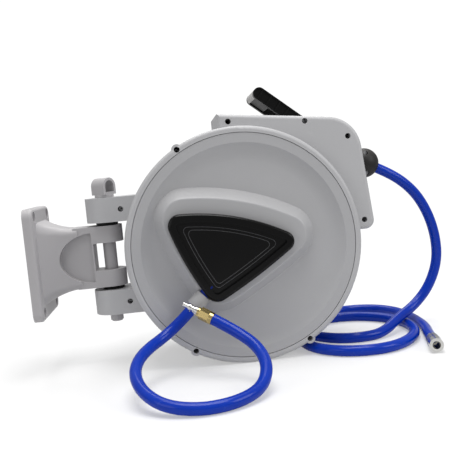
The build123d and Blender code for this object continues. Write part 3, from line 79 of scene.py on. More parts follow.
def drum_point(x: float, z: float, front: float) -> Point:
    """Places a point given from the drum's axis, so far in front of the middle plane.

    Args:
        x: Distance to the right of the axis.
        z: Height above the axis.
        front: Distance in front of the casing's middle plane.

    Returns:
        The point in the frame's own axes.
    """
    return (DRUM_AXIS_X + x, -front, DRUM_AXIS_Z + z)


def inlet_point(reach: float) -> Point:
    """Places a point on the lead-in hose's straight line.

    Args:
        reach: Distance from the drum's axis.

    Returns:
        The point in the frame's own axes.
    """
    return drum_point(reach * math.cos(INLET_TURN), reach * math.sin(INLET_TURN), INLET_FRONT)


def outlet_point(run: float) -> Point:
    """Places a point on the working hose's straight start.

    Args:
        run: Distance from the stop ball's middle.

    Returns:
        The point in the frame's own axes.
    """
    x, y, z = STOP_BALL
    return (x + run * math.cos(OUTLET_TURN), y, z - run * math.sin(OUTLET_TURN))


def add_object(name: str, data: bpy.types.ID) -> bpy.types.Object:
    """Makes an object of the data and puts it in the scene.

    Args:
        name: The object's name.
        data: Its mesh, curve, light or camera.

    Returns:
        The object.
    """
    made = bpy.data.objects.new(name, data)
    bpy.context.scene.collection.objects.link(made)
    return made


# ---- node tree helpers ------------------------------------------------------------------------


class Tree:
    """A thin wrapper that adds and joins nodes of a shader or geometry tree."""

    def __init__(self, tree: bpy.types.NodeTree) -> None:
        """Keeps the tree.

        Args:
            tree: The node tree to build in.
        """
        self.tree = tree

    def add(self, kind: str, **settings: object) -> bpy.types.Node:
        """Adds a node and sets its properties.

        Args:
            kind: The node's type name.
            **settings: Properties of the node by name.

        Returns:
            The new node.
        """
        node = self.tree.nodes.new(kind)
        for name, value in settings.items():
            setattr(node, name, value)
        return node

    def join(self, source: bpy.types.NodeSocket, target: bpy.types.NodeSocket) -> None:
        """Links an output socket to an input socket."""
        self.tree.links.new(source, target)

    def math(self, operation: str, *values: object, clamp: bool = False) -> bpy.types.NodeSocket:
        """Adds a Math node.

        Args:
            operation: The operation's name.
            *values: Sockets or plain numbers for its inputs.
            clamp: Whether the result is held between 0 and 1.

        Returns:
            The result's socket.
        """
        node = self.add("ShaderNodeMath", operation=operation, use_clamp=clamp)
        for index, value in enumerate(values):
            self.feed(value, node.inputs[index])
        return node.outputs[0]

    def feed(self, value: object, target: bpy.types.NodeSocket) -> None:
        """Links a socket, or sets a plain value, on an input."""
        if isinstance(value, bpy.types.NodeSocket):
            self.join(value, target)
        else:
            target.default_value = value

    def mix(self, mask: object, low: object, high: object) -> bpy.types.NodeSocket:
        """Mixes two colours by a mask.

        Args:
            mask: Socket or number from 0 to 1.
            low: Colour or socket where the mask is 0.
            high: Colour or socket where the mask is 1.

        Returns:
            The mixed colour's socket.
        """
        node = self.add("ShaderNodeMix", data_type="RGBA")
        self.feed(mask, node.inputs["Factor"])
        for value, name in ((low, "A"), (high, "B")):
            target = [s for s in node.inputs if s.name == name and s.type == "RGBA"][0]
            self.feed((*value, 1.0) if isinstance(value, tuple) else value, target)
        return [s for s in node.outputs if s.type == "RGBA"][0]

    def span(self, value: object, low: float, high: float) -> bpy.types.NodeSocket:
        """Maps a value from 0..1 to low..high.

        Args:
            value: Socket or number from 0 to 1.
            low: Result at 0.
            high: Result at 1.

        Returns:
            The mapped value's socket.
        """
        node = self.add("ShaderNodeMapRange")
        self.feed(value, node.inputs["Value"])
        node.inputs["To Min"].default_value = low
        node.inputs["To Max"].default_value = high
        return node.outputs["Result"]


@dataclass(frozen=True)
class Socket:
    """A named socket of a node group."""

    name: str
    kind: str = "NodeSocketFloat"
    value: object = None


def new_group(
    name: str,
    kind: str,
    takes: Sequence[Socket],
    gives: Sequence[Socket],
) -> tuple[bpy.types.NodeTree, Tree, bpy.types.Node, bpy.types.Node]:
    """Starts a node group with named inputs and outputs.

    Args:
        name: The group's name.
        kind: "ShaderNodeTree" or "GeometryNodeTree".
        takes: Its inputs.
        gives: Its outputs.

    Returns:
        The group, its builder, its input node and its output node.
    """
    group = bpy.data.node_groups.new(name, kind)
    for sockets, way in ((takes, "INPUT"), (gives, "OUTPUT")):
        for socket in sockets:
            made = group.interface.new_socket(socket.name, in_out=way, socket_type=socket.kind)
            if socket.value is not None:
                made.default_value = socket.value
    tree = Tree(group)
    return group, tree, tree.add("NodeGroupInput"), tree.add("NodeGroupOutput")


class Effects:
    """Shader groups that several finishes share, each built once."""

    made: dict[str, bpy.types.NodeTree] = {}

    @classmethod
    def get(cls, name: str, build: Callable[[str], bpy.types.NodeTree]) -> bpy.types.NodeTree:
        """Returns a shared group, building it the first time.

        Args:
            name: The group's name.
            build: The function that makes it.

        Returns:
            The group.
        """
        if name not in cls.made:
            cls.made[name] = build(name)
        return cls.made[name]


def build_grain(name: str) -> bpy.types.NodeTree:
    """Makes the moulded or cast grain effect.

    Args:
        name: The group's name.

    Returns:
        A group that gives a height and a slow blotch mask.
    """
    group, tree, taken, given = new_group(
        name,
        "ShaderNodeTree",
        (Socket("Grain scale", value=1800.0), Socket("Blotch scale", value=14.0)),
        (Socket("Height"), Socket("Blotch")),
    )
    place = tree.add("ShaderNodeTexCoord")
    fine = tree.add("ShaderNodeTexNoise")
    fine.inputs["Detail"].default_value = 3.0
    fine.inputs["Roughness"].default_value = 0.6
    tree.join(place.outputs["Object"], fine.inputs["Vector"])
    tree.join(taken.outputs["Grain scale"], fine.inputs["Scale"])
    slow = tree.add("ShaderNodeTexNoise")
    slow.inputs["Detail"].default_value = 4.0
    tree.join(place.outputs["Object"], slow.inputs["Vector"])
    tree.join(taken.outputs["Blotch scale"], slow.inputs["Scale"])
    tree.join(fine.outputs[0], given.inputs["Height"])
    tree.join(slow.outputs[0], given.inputs["Blotch"])
    return group


def build_edge_mask(name: str) -> bpy.types.NodeTree:
    """Makes the mask that lights up along worn outer edges.

    Args:
        name: The group's name.

    Returns:
        A group that gives the edge mask.
    """
    group, tree, taken, given = new_group(
        name,
        "ShaderNodeTree",
        (Socket("Width", value=0.001), Socket("Strength", value=6.0)),
        (Socket("Edge"),),
    )
    surface = tree.add("ShaderNodeNewGeometry")
    soft = tree.add("ShaderNodeBevel", samples=4)
    tree.join(taken.outputs["Width"], soft.inputs["Radius"])
    dot = tree.add("ShaderNodeVectorMath", operation="DOT_PRODUCT")
    tree.join(surface.outputs["Normal"], dot.inputs[0])
    tree.join(soft.outputs["Normal"], dot.inputs[1])
    lost = tree.math("SUBTRACT", 1.0, dot.outputs["Value"])
    tree.join(tree.math("MULTIPLY", lost, taken.outputs["Strength"], clamp=True), given.inputs["Edge"])
    return group


def build_scuffs(name: str) -> bpy.types.NodeTree:
    """Makes sparse, fine scratches.

    Args:
        name: The group's name.

    Returns:
        A group that gives the scratch mask.
    """
    group, tree, taken, given = new_group(
        name,
        "ShaderNodeTree",
        (Socket("Scale", value=40.0), Socket("Amount", value=0.5)),
        (Socket("Scratch"),),
    )
    turns = (0.4, 1.9)
    stretch = (1.0, 18.0, 1.0)
    least, gain = 0.68, 9.0
    place = tree.add("ShaderNodeTexCoord")
    total = None
    for turn in turns:
        mapping = tree.add("ShaderNodeMapping")
        mapping.inputs["Rotation"].default_value = (turn, turn * 0.7, turn * 1.3)
        mapping.inputs["Scale"].default_value = stretch
        tree.join(place.outputs["Object"], mapping.inputs["Vector"])
        noise = tree.add("ShaderNodeTexNoise")
        noise.inputs["Detail"].default_value = 2.0
        tree.join(mapping.outputs["Vector"], noise.inputs["Vector"])
        tree.join(taken.outputs["Scale"], noise.inputs["Scale"])
        sharp = tree.math("MULTIPLY", tree.math("SUBTRACT", noise.outputs[0], least), gain, clamp=True)
        total = sharp if total is None else tree.math("MAXIMUM", total, sharp)
    tree.join(tree.math("MULTIPLY", total, taken.outputs["Amount"], clamp=True), given.inputs["Scratch"])
    return group


def build_dust(name: str) -> bpy.types.NodeTree:
    """Makes the light dust that settles on faces that look up.

    Args:
        name: The group's name.

    Returns:
        A group that gives the dust mask.
    """
    group, tree, taken, given = new_group(
        name,
        "ShaderNodeTree",
        (Socket("Amount", value=0.15),),
        (Socket("Dust"),),
    )
    least, gain = 0.35, 1.5
    surface = tree.add("ShaderNodeNewGeometry")
    split = tree.add("ShaderNodeSeparateXYZ")
    tree.join(surface.outputs["Normal"], split.inputs[0])
    up = tree.math("MULTIPLY", tree.math("SUBTRACT", split.outputs["Z"], least), gain, clamp=True)
    place = tree.add("ShaderNodeTexCoord")
    noise = tree.add("ShaderNodeTexNoise")
    noise.inputs["Scale"].default_value = 90.0
    noise.inputs["Detail"].default_value = 6.0
    tree.join(place.outputs["Object"], noise.inputs["Vector"])
    lying = tree.math("MULTIPLY", up, noise.outputs[0])
    tree.join(tree.math("MULTIPLY", lying, taken.outputs["Amount"], clamp=True), given.inputs["Dust"])
    return group


class Effect(Enum):
    """The shared shader effects."""

    GRAIN = ("moulded_grain", build_grain)
    EDGE = ("edge_mask", build_edge_mask)
    SCUFFS = ("fine_scuffs", build_scuffs)
    DUST = ("settled_dust", build_dust)


class Paint:
    """A material under construction, with its Principled shader."""

    def __init__(self, name: str) -> None:
        """Starts a material.

        Args:
            name: The material's name.
        """
        self.material = bpy.data.materials.new(name)
        self.material.use_nodes = True
        self.tree = Tree(self.material.node_tree)
        self.shader = self.material.node_tree.nodes["Principled BSDF"]

    def effect(self, effect: Effect, **values: float) -> bpy.types.Node:
        """Places a shared effect with its own values.

        Args:
            effect: Which effect.
            **values: Its inputs, with spaces written as underscores.

        Returns:
            The group node.
        """
        name, build = effect.value
        node = self.tree.add("ShaderNodeGroup", node_tree=Effects.get(name, build))
        for key, value in values.items():
            node.inputs[key.replace("_", " ").capitalize()].default_value = value
        return node

    def plain(self, **values: object) -> None:
        """Sets plain values on the shader's own sockets."""
        for key, value in values.items():
            self.shader.inputs[key.replace("_", " ")].default_value = value

    def veil(self, amount: bpy.types.NodeSocket) -> None:
        """Lets the surround show through the surface.

        Args:
            amount: How much shows, from 0 to 1.
        """
        clear = self.tree.add("ShaderNodeBsdfTransparent")
        blend = self.tree.add("ShaderNodeMixShader")
        self.tree.join(amount, blend.inputs[0])
        self.tree.join(self.shader.outputs["BSDF"], blend.inputs[1])
        self.tree.join(clear.outputs["BSDF"], blend.inputs[2])
        output = self.material.node_tree.nodes["Material Output"]
        self.tree.join(blend.outputs["Shader"], output.inputs["Surface"])

    def bump(self, height: bpy.types.NodeSocket, distance: float, strength: float = 1.0) -> None:
        """Adds a bump under the shader's normal.

        Args:
            height: Height from 0 to 1.
            distance: Depth in metres.
            strength: How much of it shows.
        """
        node = self.tree.add("ShaderNodeBump")
        node.inputs["Strength"].default_value = strength
        node.inputs["Distance"].default_value = distance
        self.tree.join(height, node.inputs["Height"])
        self.tree.join(node.outputs["Normal"], self.shader.inputs["Normal"])


# ---- finishes -----------------------------------------------------------------------------------


PLASTIC_IOR = 1.5
PALE_DUST = linear(205, 200, 190)
HOSE_DUST = linear(190, 195, 205)
DARK_DUST = linear(150, 145, 140)
RUBBED_HOSE = linear(120, 150, 225)


class Finish:
    """A finish that builds its material the first time it is asked for."""

    made: dict[str, bpy.types.Material] = {}

    def material(self) -> bpy.types.Material:
        """Returns the finish's material."""
        if self.name not in Finish.made:
            Finish.made[self.name] = self.build()
        return Finish.made[self.name]


@dataclass(frozen=True)
class MouldedPlastic(Finish):
    """Satin injection-moulded plastic with a fine grain, paler edges and a little dust."""

    name: str
    colour: Colour
    edge: Colour
    roughness: float = 0.42
    grain: float = 1500.0
    depth: float = 0.00003
    wear: float = 1.5
    dust: float = 0.12
    scuffs: float = 0.2
    shine: float = 0.5
    edge_width: float = 0.0012
    blotch: float = 0.93
    scuff_show: float = 0.4
    rough_spread: float = 0.05
    dust_rough: float = 0.5

    def build(self) -> bpy.types.Material:
        """Builds the material."""
        paint = Paint(self.name)
        tree = paint.tree
        grain = paint.effect(Effect.GRAIN, Grain_scale=self.grain)
        edge = paint.effect(Effect.EDGE, Width=self.edge_width, Strength=self.wear)
        scuff = paint.effect(Effect.SCUFFS, Amount=self.scuffs)
        dust = paint.effect(Effect.DUST, Amount=self.dust)
        deep = tuple(value * self.blotch for value in self.colour)
        body = tree.mix(grain.outputs["Blotch"], deep, self.colour)
        worn = tree.mix(edge.outputs["Edge"], body, self.edge)
        scratch = tree.math("MULTIPLY", scuff.outputs["Scratch"], self.scuff_show)
        marked = tree.mix(scratch, worn, self.edge)
        dusty = tree.mix(dust.outputs["Dust"], marked, PALE_DUST)
        tree.join(dusty, paint.shader.inputs["Base Color"])
        low, high = self.roughness - self.rough_spread, self.roughness + self.rough_spread
        rough = tree.span(grain.outputs["Blotch"], low, high)
        rougher = tree.math("ADD", rough, tree.math("MULTIPLY", dust.outputs["Dust"], self.dust_rough))
        tree.join(rougher, paint.shader.inputs["Roughness"])
        paint.plain(IOR=PLASTIC_IOR, Specular_IOR_Level=self.shine)
        paint.bump(grain.outputs["Height"], self.depth)
        return paint.material


@dataclass(frozen=True)
class SoftHose(Finish):
    """Glossy soft hose wall with faint blotches, rubbed streaks and a fine grain."""

    name: str
    colour: Colour
    deep: Colour
    shine: float = 0.3
    ior: float = 1.45
    least_rough: float = 0.12
    most_rough: float = 0.2
    rubbed_rough: float = 0.2
    scuff_show: float = 0.25

    def build(self) -> bpy.types.Material:
        """Builds the material."""
        paint = Paint(self.name)
        tree = paint.tree
        grain = paint.effect(Effect.GRAIN, Grain_scale=420.0, Blotch_scale=22.0)
        scuff = paint.effect(Effect.SCUFFS, Scale=60.0, Amount=0.5)
        dust = paint.effect(Effect.DUST, Amount=0.03)
        body = tree.mix(grain.outputs["Blotch"], self.deep, self.colour)
        scratch = tree.math("MULTIPLY", scuff.outputs["Scratch"], self.scuff_show)
        rubbed = tree.mix(scratch, body, RUBBED_HOSE)
        dusty = tree.mix(dust.outputs["Dust"], rubbed, HOSE_DUST)
        tree.join(dusty, paint.shader.inputs["Base Color"])
        rough = tree.span(grain.outputs["Blotch"], self.least_rough, self.most_rough)
        marked = tree.math("MULTIPLY", scuff.outputs["Scratch"], self.rubbed_rough)
        tree.join(tree.math("ADD", rough, marked), paint.shader.inputs["Roughness"])
        paint.plain(IOR=self.ior, Specular_IOR_Level=self.shine)
        paint.bump(grain.outputs["Height"], 0.00004, 0.6)
        return paint.material


@dataclass(frozen=True)
class Metal(Finish):
    """Bare or plated metal with turning marks and a little tarnish."""

    name: str
    colour: Colour
    dark: Colour
    roughness: float = 0.25
    marks: float = 900.0
    depth: float = 0.00001
    tarnish: float = 0.4
    smoothest: float = 0.7
    roughest: float = 1.4
    scratch_rough: float = 0.15

    def build(self) -> bpy.types.Material:
        """Builds the material."""
        paint = Paint(self.name)
        tree = paint.tree
        grain = paint.effect(Effect.GRAIN, Grain_scale=self.marks, Blotch_scale=70.0)
        scuff = paint.effect(Effect.SCUFFS, Scale=150.0, Amount=0.6)
        shade = tree.math("MULTIPLY", grain.outputs["Blotch"], self.tarnish, clamp=True)
        body = tree.mix(shade, self.colour, self.dark)
        tree.join(body, paint.shader.inputs["Base Color"])
        low, high = self.roughness * self.smoothest, self.roughness * self.roughest
        rough = tree.span(grain.outputs["Blotch"], low, high)
        marked = tree.math("MULTIPLY", scuff.outputs["Scratch"], self.scratch_rough)
        tree.join(tree.math("ADD", rough, marked), paint.shader.inputs["Roughness"])
        paint.plain(Metallic=1.0)
        paint.bump(grain.outputs["Height"], self.depth)
        return paint.material


@dataclass(frozen=True)
class Rubber(Finish):
    """Black moulded rubber with a dry surface."""

    name: str
    colour: Colour
    blotch: float = 1.6
    least_rough: float = 0.42
    most_rough: float = 0.6

    def build(self) -> bpy.types.Material:
        """Builds the material."""
        paint = Paint(self.name)
        tree = paint.tree
        grain = paint.effect(Effect.GRAIN, Grain_scale=2200.0, Blotch_scale=40.0)
        dust = paint.effect(Effect.DUST, Amount=0.2)
        pale = tuple(value * self.blotch for value in self.colour)
        body = tree.mix(grain.outputs["Blotch"], self.colour, pale)
        dusty = tree.mix(dust.outputs["Dust"], body, DARK_DUST)
        tree.join(dusty, paint.shader.inputs["Base Color"])
        rough = tree.span(grain.outputs["Blotch"], self.least_rough, self.most_rough)
        tree.join(rough, paint.shader.inputs["Roughness"])
        paint.plain(IOR=PLASTIC_IOR)
        paint.bump(grain.outputs["Height"], 0.00004)
        return paint.material


SHELL_GREY = MouldedPlastic("shell_grey", linear(186, 186, 188), linear(214, 214, 216))
DISC_GREY = MouldedPlastic("disc_grey", linear(178, 178, 180), linear(206, 206, 208))
BRACKET_GREY = MouldedPlastic("bracket_grey", linear(178, 176, 178), linear(210, 209, 211), roughness=0.46)
GRIP_GREY = MouldedPlastic("grip_grey", linear(192, 191, 189), linear(220, 219, 217))
HUB_BLACK = MouldedPlastic(
    "hub_black",
    linear(8, 8, 9),
    linear(40, 40, 42),
    roughness=0.22,
    grain=1900.0,
    depth=0.00002,
    wear=1.0,
    dust=0.01,
    scuffs=0.1,
    shine=0.25,
)
HANDLE_BLACK = MouldedPlastic(
    "handle_black",
    linear(6, 6, 6),
    linear(40, 40, 40),
    roughness=0.34,
    grain=1600.0,
    depth=0.00004,
    wear=1.2,
    dust=0.02,
    shine=0.25,
)
ACETAL_WHITE = MouldedPlastic("acetal_white", linear(214, 213, 206), linear(232, 232, 228), 0.38)
HOSE_BLUE = SoftHose("hose_blue", linear(2, 60, 182), linear(1, 48, 160))
BALL_RUBBER = Rubber("ball_rubber", linear(18, 16, 16))
SEAL_RUBBER = Rubber("seal_rubber", linear(18, 18, 18))
BRASS = Metal("turned_brass", linear(205, 184, 128), linear(150, 122, 70), 0.24)
CHROME = Metal("bright_plate", linear(222, 221, 218), linear(160, 158, 152), 0.14, tarnish=0.3)
ZINC = Metal("zinc_steel", linear(190, 191, 194), linear(130, 131, 134), 0.34)
BLUED = Metal("blued_spring", linear(110, 112, 122), linear(60, 60, 66), 0.3)
# painted highlight: the raised lines are the cover's black plastic, coloured mid grey for the light they
# catch
HUB_LINE_HIGHLIGHT = MouldedPlastic("hub_line_highlight", linear(58, 58, 60), linear(80, 80, 82), 0.34, scuffs=0.1)
# painted shade: near-black colour for the shade inside the zinc screw heads' cross recesses
RECESS_PAINTED_SHADE = MouldedPlastic("recess_painted_shade", linear(26, 26, 28), linear(30, 30, 30), 0.5, scuffs=0.0)
SHAFT = Metal("ground_shaft", linear(196, 198, 202), linear(140, 142, 146), 0.2)

CAD_FINISHES: dict[Finish, tuple[str, ...]] = {
    BRACKET_GREY: ("wall_bracket", "pin_pull", "hinge_pin"),
    SHELL_GREY: ("front_casing", "rear_casing"),
    DISC_GREY: ("front_disc",),
    GRIP_GREY: ("handle_grip",),
    HUB_BLACK: ("hub_cover", "rear_cap"),
    HANDLE_BLACK: ("handle_frame", "outlet_bezel", "roller_cage", "knuckle_bushes"),
    ACETAL_WHITE: (
        "spool_core",
        "front_flange",
        "rear_flange",
        "roller_front",
        "roller_back",
        "roller_top",
        "roller_bottom",
    ),
    HOSE_BLUE: ("inlet_lead", "hose_lead", "wound_hose"),
    BALL_RUBBER: ("stop_ball_front", "stop_ball_back"),
    SEAL_RUBBER: ("swivel_seals",),
    BRASS: ("inlet_socket", "inlet_elbow", "swivel_stem", "swivel_rotor", "spool_bushes"),
    CHROME: ("plug_nipple", "coupler_body", "coupler_sleeve"),
    ZINC: (
        "casing_screws",
        "cap_screws",
        "flange_screws",
        "ball_screws",
        "inlet_clamp",
        "roller_pins",
        "handle_rod",
        "pawl_pin",
        "latch_pawl",
        "ratchet_ring",
        "spring_cover",
        "spring_arbor",
    ),
    BLUED: ("clock_spring", "latch_spring", "coupler_spring"),
    SHAFT: ("centre_shaft",),
}


def dress_frame(nodes: dict[str, bpy.types.Object]) -> None:
    """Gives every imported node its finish.

    Args:
        nodes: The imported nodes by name.
    """
    for finish, names in CAD_FINISHES.items():
        for name in names:
            mesh = nodes[name].data
            mesh.materials.clear()
            mesh.materials.append(finish.material())
            LOG.info("%s: %s", name, finish.name)


# ---- camera, floor and light ------------------------------------------------------------------


@dataclass(frozen=True)
class Lamp:
    """One square area light, aimed at the middle of the reel."""

    name: str
    place: Point
    size: float
    power: float


LAMPS = (
    Lamp("overhead", (0.30, -0.25, 1.5), size=1.0, power=17.0),
    Lamp("back_top", (0.35, 1.0, 1.5), size=1.2, power=12.0),
    Lamp("right_softbox", (1.6, -0.9, 0.8), size=0.8, power=7.0),
    Lamp("left_fill", (-1.2, -1.2, 0.5), size=1.0, power=4.0),
)


@dataclass
class Studio:
    """A plain pale floor, soft lights and the camera."""

    eye: Point = (0.2005, -0.9534, 0.1043)
    heading: float = math.radians(4.67)
    pitch: float = math.radians(5.61)
    roll: float = math.radians(5.16)
    lens: float = 51.9
    sensor: float = 36.0
    far_clip: float = 60.0
    aim: Point = (0.28, 0.0, 0.0)
    floor_half: float = 9.0
    floor_white: float = 0.92
    floor_rough: float = 0.75
    fade_middle: Point = (0.28, -0.1, FLOOR_Z)
    fade_start: float = 0.3
    fade_end: float = 0.8
    least_veil: float = 0.35
    world_light: float = 0.42
    world_seen: float = 1.05

    def place_camera(self) -> None:
        """Makes the camera and turns it towards the reel."""
        data = bpy.data.cameras.new("camera")
        data.lens = self.lens
        data.sensor_width = self.sensor
        data.clip_end = self.far_clip
        camera = add_object("camera", data)
        ahead = Vector(
            (
                math.sin(self.heading) * math.cos(self.pitch),
                math.cos(self.heading) * math.cos(self.pitch),
                -math.sin(self.pitch),
            )
        )
        right = Vector((math.cos(self.heading), -math.sin(self.heading), 0.0))
        up = right.cross(ahead)
        side = right * math.cos(self.roll) - up * math.sin(self.roll)
        rise = right * math.sin(self.roll) + up * math.cos(self.roll)
        turned = Matrix((side, rise, -ahead)).transposed().to_4x4()
        camera.matrix_world = Matrix.Translation(Vector(self.eye)) @ turned
        bpy.context.scene.camera = camera

    def lay_floor(self) -> None:
        """Lays the pale floor under the reel, which fades into the white surround."""
        mesh = bpy.data.meshes.new("floor")
        half = self.floor_half
        corners = [(-half, -half), (half, -half), (half, half), (-half, half)]
        mesh.from_pydata([(x, y, FLOOR_Z) for x, y in corners], [], [(0, 1, 2, 3)])
        floor = add_object("floor", mesh)
        paint = Paint("floor_paper")
        white = self.floor_white
        paint.plain(Base_Color=(white, white, white, 1.0), Roughness=self.floor_rough)
        tree = paint.tree
        place = tree.add("ShaderNodeTexCoord")
        apart = tree.add("ShaderNodeVectorMath", operation="DISTANCE")
        apart.inputs[1].default_value = self.fade_middle
        tree.join(place.outputs["Object"], apart.inputs[0])
        fade = tree.add("ShaderNodeMapRange")
        fade.inputs["From Min"].default_value = self.fade_start
        fade.inputs["From Max"].default_value = self.fade_end
        fade.inputs["To Min"].default_value = self.least_veil
        fade.inputs["To Max"].default_value = 1.0
        tree.join(apart.outputs["Value"], fade.inputs["Value"])
        paint.veil(fade.outputs["Result"])
        mesh.materials.append(paint.material)

    def hang_lamp(self, lamp: Lamp) -> None:
        """Adds one soft area light.

        Args:
            lamp: Its name, place, size in metres and power in watts.
        """
        data = bpy.data.lights.new(lamp.name, "AREA")
        data.size = lamp.size
        data.energy = lamp.power
        light = add_object(lamp.name, data)
        light.location = lamp.place
        ahead = Vector(self.aim) - Vector(lamp.place)
        light.rotation_euler = ahead.to_track_quat("-Z", "Y").to_euler()

    def hang_world(self) -> None:
        """Makes a white surround for the eye and a dimmer one for the light it gives."""
        world = bpy.data.worlds.new("studio")
        world.use_nodes = True
        tree = Tree(world.node_tree)
        background = world.node_tree.nodes["Background"]
        background.inputs["Color"].default_value = (1.0, 1.0, 1.0, 1.0)
        path = tree.add("ShaderNodeLightPath")
        strength = tree.span(path.outputs["Is Camera Ray"], self.world_light, self.world_seen)
        tree.join(strength, background.inputs["Strength"])
        bpy.context.scene.world = world

    def build(self) -> None:
        """Builds the whole studio."""
        self.place_camera()
        self.lay_floor()
        self.hang_world()
        for lamp in LAMPS:
            self.hang_lamp(lamp)
        bpy.context.scene.view_settings.view_transform = "Standard"


# ---- hoses ------------------------------------------------------------------------------------------


@dataclass
class FreeHose:
    """A length of hose that lies free, along one smooth spline."""

    name: str
    node: str
    route: Sequence[Point]
    length: float
    far_end: str
    on_it: Sequence[str]

    def build(self) -> None:
        data = bpy.data.curves.new(self.name, "CURVE")
        data.dimensions = "3D"
        data.resolution_u = 12
        data.bevel_depth = HOSE_R
        data.bevel_resolution = 10
        data.use_fill_caps = True
        spline = data.splines.new("NURBS")
        spline.points.add(len(self.route) - 1)
        for point, place in zip(spline.points, self.route):
            point.co = (*place, 1.0)
        spline.order_u = 3
        spline.use_endpoint_u = True
        spline.resolution_u = 12
        data.materials.append(HOSE_BLUE.material())
        hose = add_object(self.name, data)
        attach(hose, "casing")
        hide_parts(self.node)
        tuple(self.route[0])
        list(self.on_it)
        LOG.info("%s: %d route points", self.name, len(self.route))


LEAD_IN_ROUTE: tuple[Point, ...] = (
    inlet_point(INLET_REACH),
    inlet_point(INLET_REACH + INLET_RUN),
    (0.169, -0.1075, -0.099),
    (0.147, -0.131, -0.107),
    (0.135, -0.161, -0.114),
    (0.134, -0.194, -0.122),
    (0.145, -0.225, -0.132),
    (0.168, -0.248, -0.141),
    (0.201, -0.258, FLOOR_HOSE),
    (0.234, -0.254, FLOOR_HOSE),
    (0.262, -0.237, -0.143),
    (0.279, -0.217, -0.1375),
    (0.287, -0.191, -0.124),
    (0.280, -0.162, -0.109),
    (0.257, -0.140, -0.093),
    (0.2313, -0.128, -0.0785),
)
WORKING_ROUTE: tuple[Point, ...] = (
    STOP_BALL,
    outlet_point(OUTLET_RUN),
    (0.542, 0.006, 0.052),
    (0.564, 0.012, 0.018),
    (0.577, 0.018, -0.021),
    (0.579, 0.022, -0.060),
    (0.564, 0.022, -0.097),
    (0.538, 0.016, -0.122),
    (0.506, -0.004, -0.133),
    (0.472, -0.036, FLOOR_HOSE),
    (0.437, -0.047, FLOOR_HOSE),
    (0.403, -0.038, FLOOR_HOSE),
    (0.379, -0.013, FLOOR_HOSE),
    (0.370, 0.021, FLOOR_HOSE),
    (0.379, 0.054, FLOOR_HOSE),
    (0.403, 0.078, FLOOR_HOSE),
    (0.437, 0.087, FLOOR_HOSE),
    (0.473, 0.077, FLOOR_HOSE),
    (0.502, 0.052, FLOOR_HOSE),
    (0.518, 0.017, FLOOR_HOSE),
    (0.521, -0.022, FLOOR_HOSE),
    (0.510, -0.060, FLOOR_HOSE),
    (0.486, -0.092, FLOOR_HOSE),
    (0.457, -0.110, FLOOR_HOSE),
    (0.423, -0.112, FLOOR_HOSE),
    (0.391, -0.100, FLOOR_HOSE),
    (0.367, -0.075, FLOOR_HOSE),
    (0.357, -0.042, FLOOR_HOSE),
    (0.357, -0.004, FLOOR_HOSE),
    (0.363, 0.036, FLOOR_HOSE),
    (0.378, 0.075, FLOOR_HOSE),
    (0.403, 0.108, FLOOR_HOSE),
    (0.438, 0.129, FLOOR_HOSE),
    (0.476, 0.133, FLOOR_HOSE),
    (0.509, 0.118, FLOOR_HOSE),
    (0.530, 0.087, FLOOR_HOSE),
    (0.538, 0.048, FLOOR_HOSE),
    (0.539, 0.008, FLOOR_HOSE),
    (0.536, -0.031, FLOOR_HOSE),
    (0.5265, -0.066, -0.1443),
    (0.519, -0.099, -0.1429),
)
HOSES = (
    FreeHose(
        name="inlet_hose_line",
        node="inlet_hose",
        route=LEAD_IN_ROUTE,
        length=0.477,
        far_end="fitting",
        on_it=("inlet_socket", "plug_nipple"),
    ),
    FreeHose(
        name="outlet_hose_line",
        node="outlet_hose",
        route=WORKING_ROUTE,
        length=1.505,
        far_end="fitting",
        on_it=(
            "coupler_body",
            "coupler_sleeve",
            "coupler_spring",
            "stop_ball_front",
            "stop_ball_back",
            "ball_screws",
        ),
    ),
)


# ---- details made by rule -----------------------------------------------------------------------


@dataclass
class RuleMesh:
    """Runs a geometry tree on a seed mesh and keeps the result as a plain mesh."""

    name: str
    finish: Finish
    body: str
    slot: str

    def bake(
        self,
        seed: bpy.types.Mesh,
        group: bpy.types.NodeTree,
        values: dict[str, object],
    ) -> bpy.types.Object:
        """Evaluates the tree and returns a plain, smooth-shaded piece.

        Args:
            seed: The mesh that the tree starts from.
            group: The geometry tree.
            values: The tree's named inputs.

        Returns:
            The finished object, at the origin.
        """
        carrier = add_object(self.name + "_seed", seed)
        modifier = carrier.modifiers.new("rule", "NODES")
        modifier.node_group = group
        for item in group.interface.items_tree:
            if item.item_type == "SOCKET" and item.in_out == "INPUT" and item.name in values:
                modifier[item.identifier] = values[item.name]
        ready = carrier.evaluated_get(bpy.context.evaluated_depsgraph_get())
        mesh = bpy.data.meshes.new_from_object(ready)
        mesh.name = self.name
        bpy.data.objects.remove(carrier)
        return add_object(self.name, mesh)

    def mount(self, piece: bpy.types.Object) -> None:
        """Lets the piece ride on its body.

        Args:
            piece: The finished object.
        """
        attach(piece, self.body)
        LOG.info("%s: %d faces", self.name, len(piece.data.polygons))


def geometry_ends(tree: Tree, given: bpy.types.Node, made: bpy.types.NodeSocket, finish: Finish) -> None:
    """Ends a geometry tree in Realize Instances and Set Material.

    Args:
        tree: The tree's builder.
        given: The tree's output node.
        made: The geometry so far.
        finish: The finish of the piece.
    """
    real = tree.add("GeometryNodeRealizeInstances")
    painted = tree.add("GeometryNodeSetMaterial")
    painted.inputs["Material"].default_value = finish.material()
    tree.join(made, real.inputs["Geometry"])
    tree.join(real.outputs["Geometry"], painted.inputs["Geometry"])
    tree.join(painted.outputs["Geometry"], given.inputs["Geometry"])


GEOMETRY = Socket("Geometry", "NodeSocketGeometry")


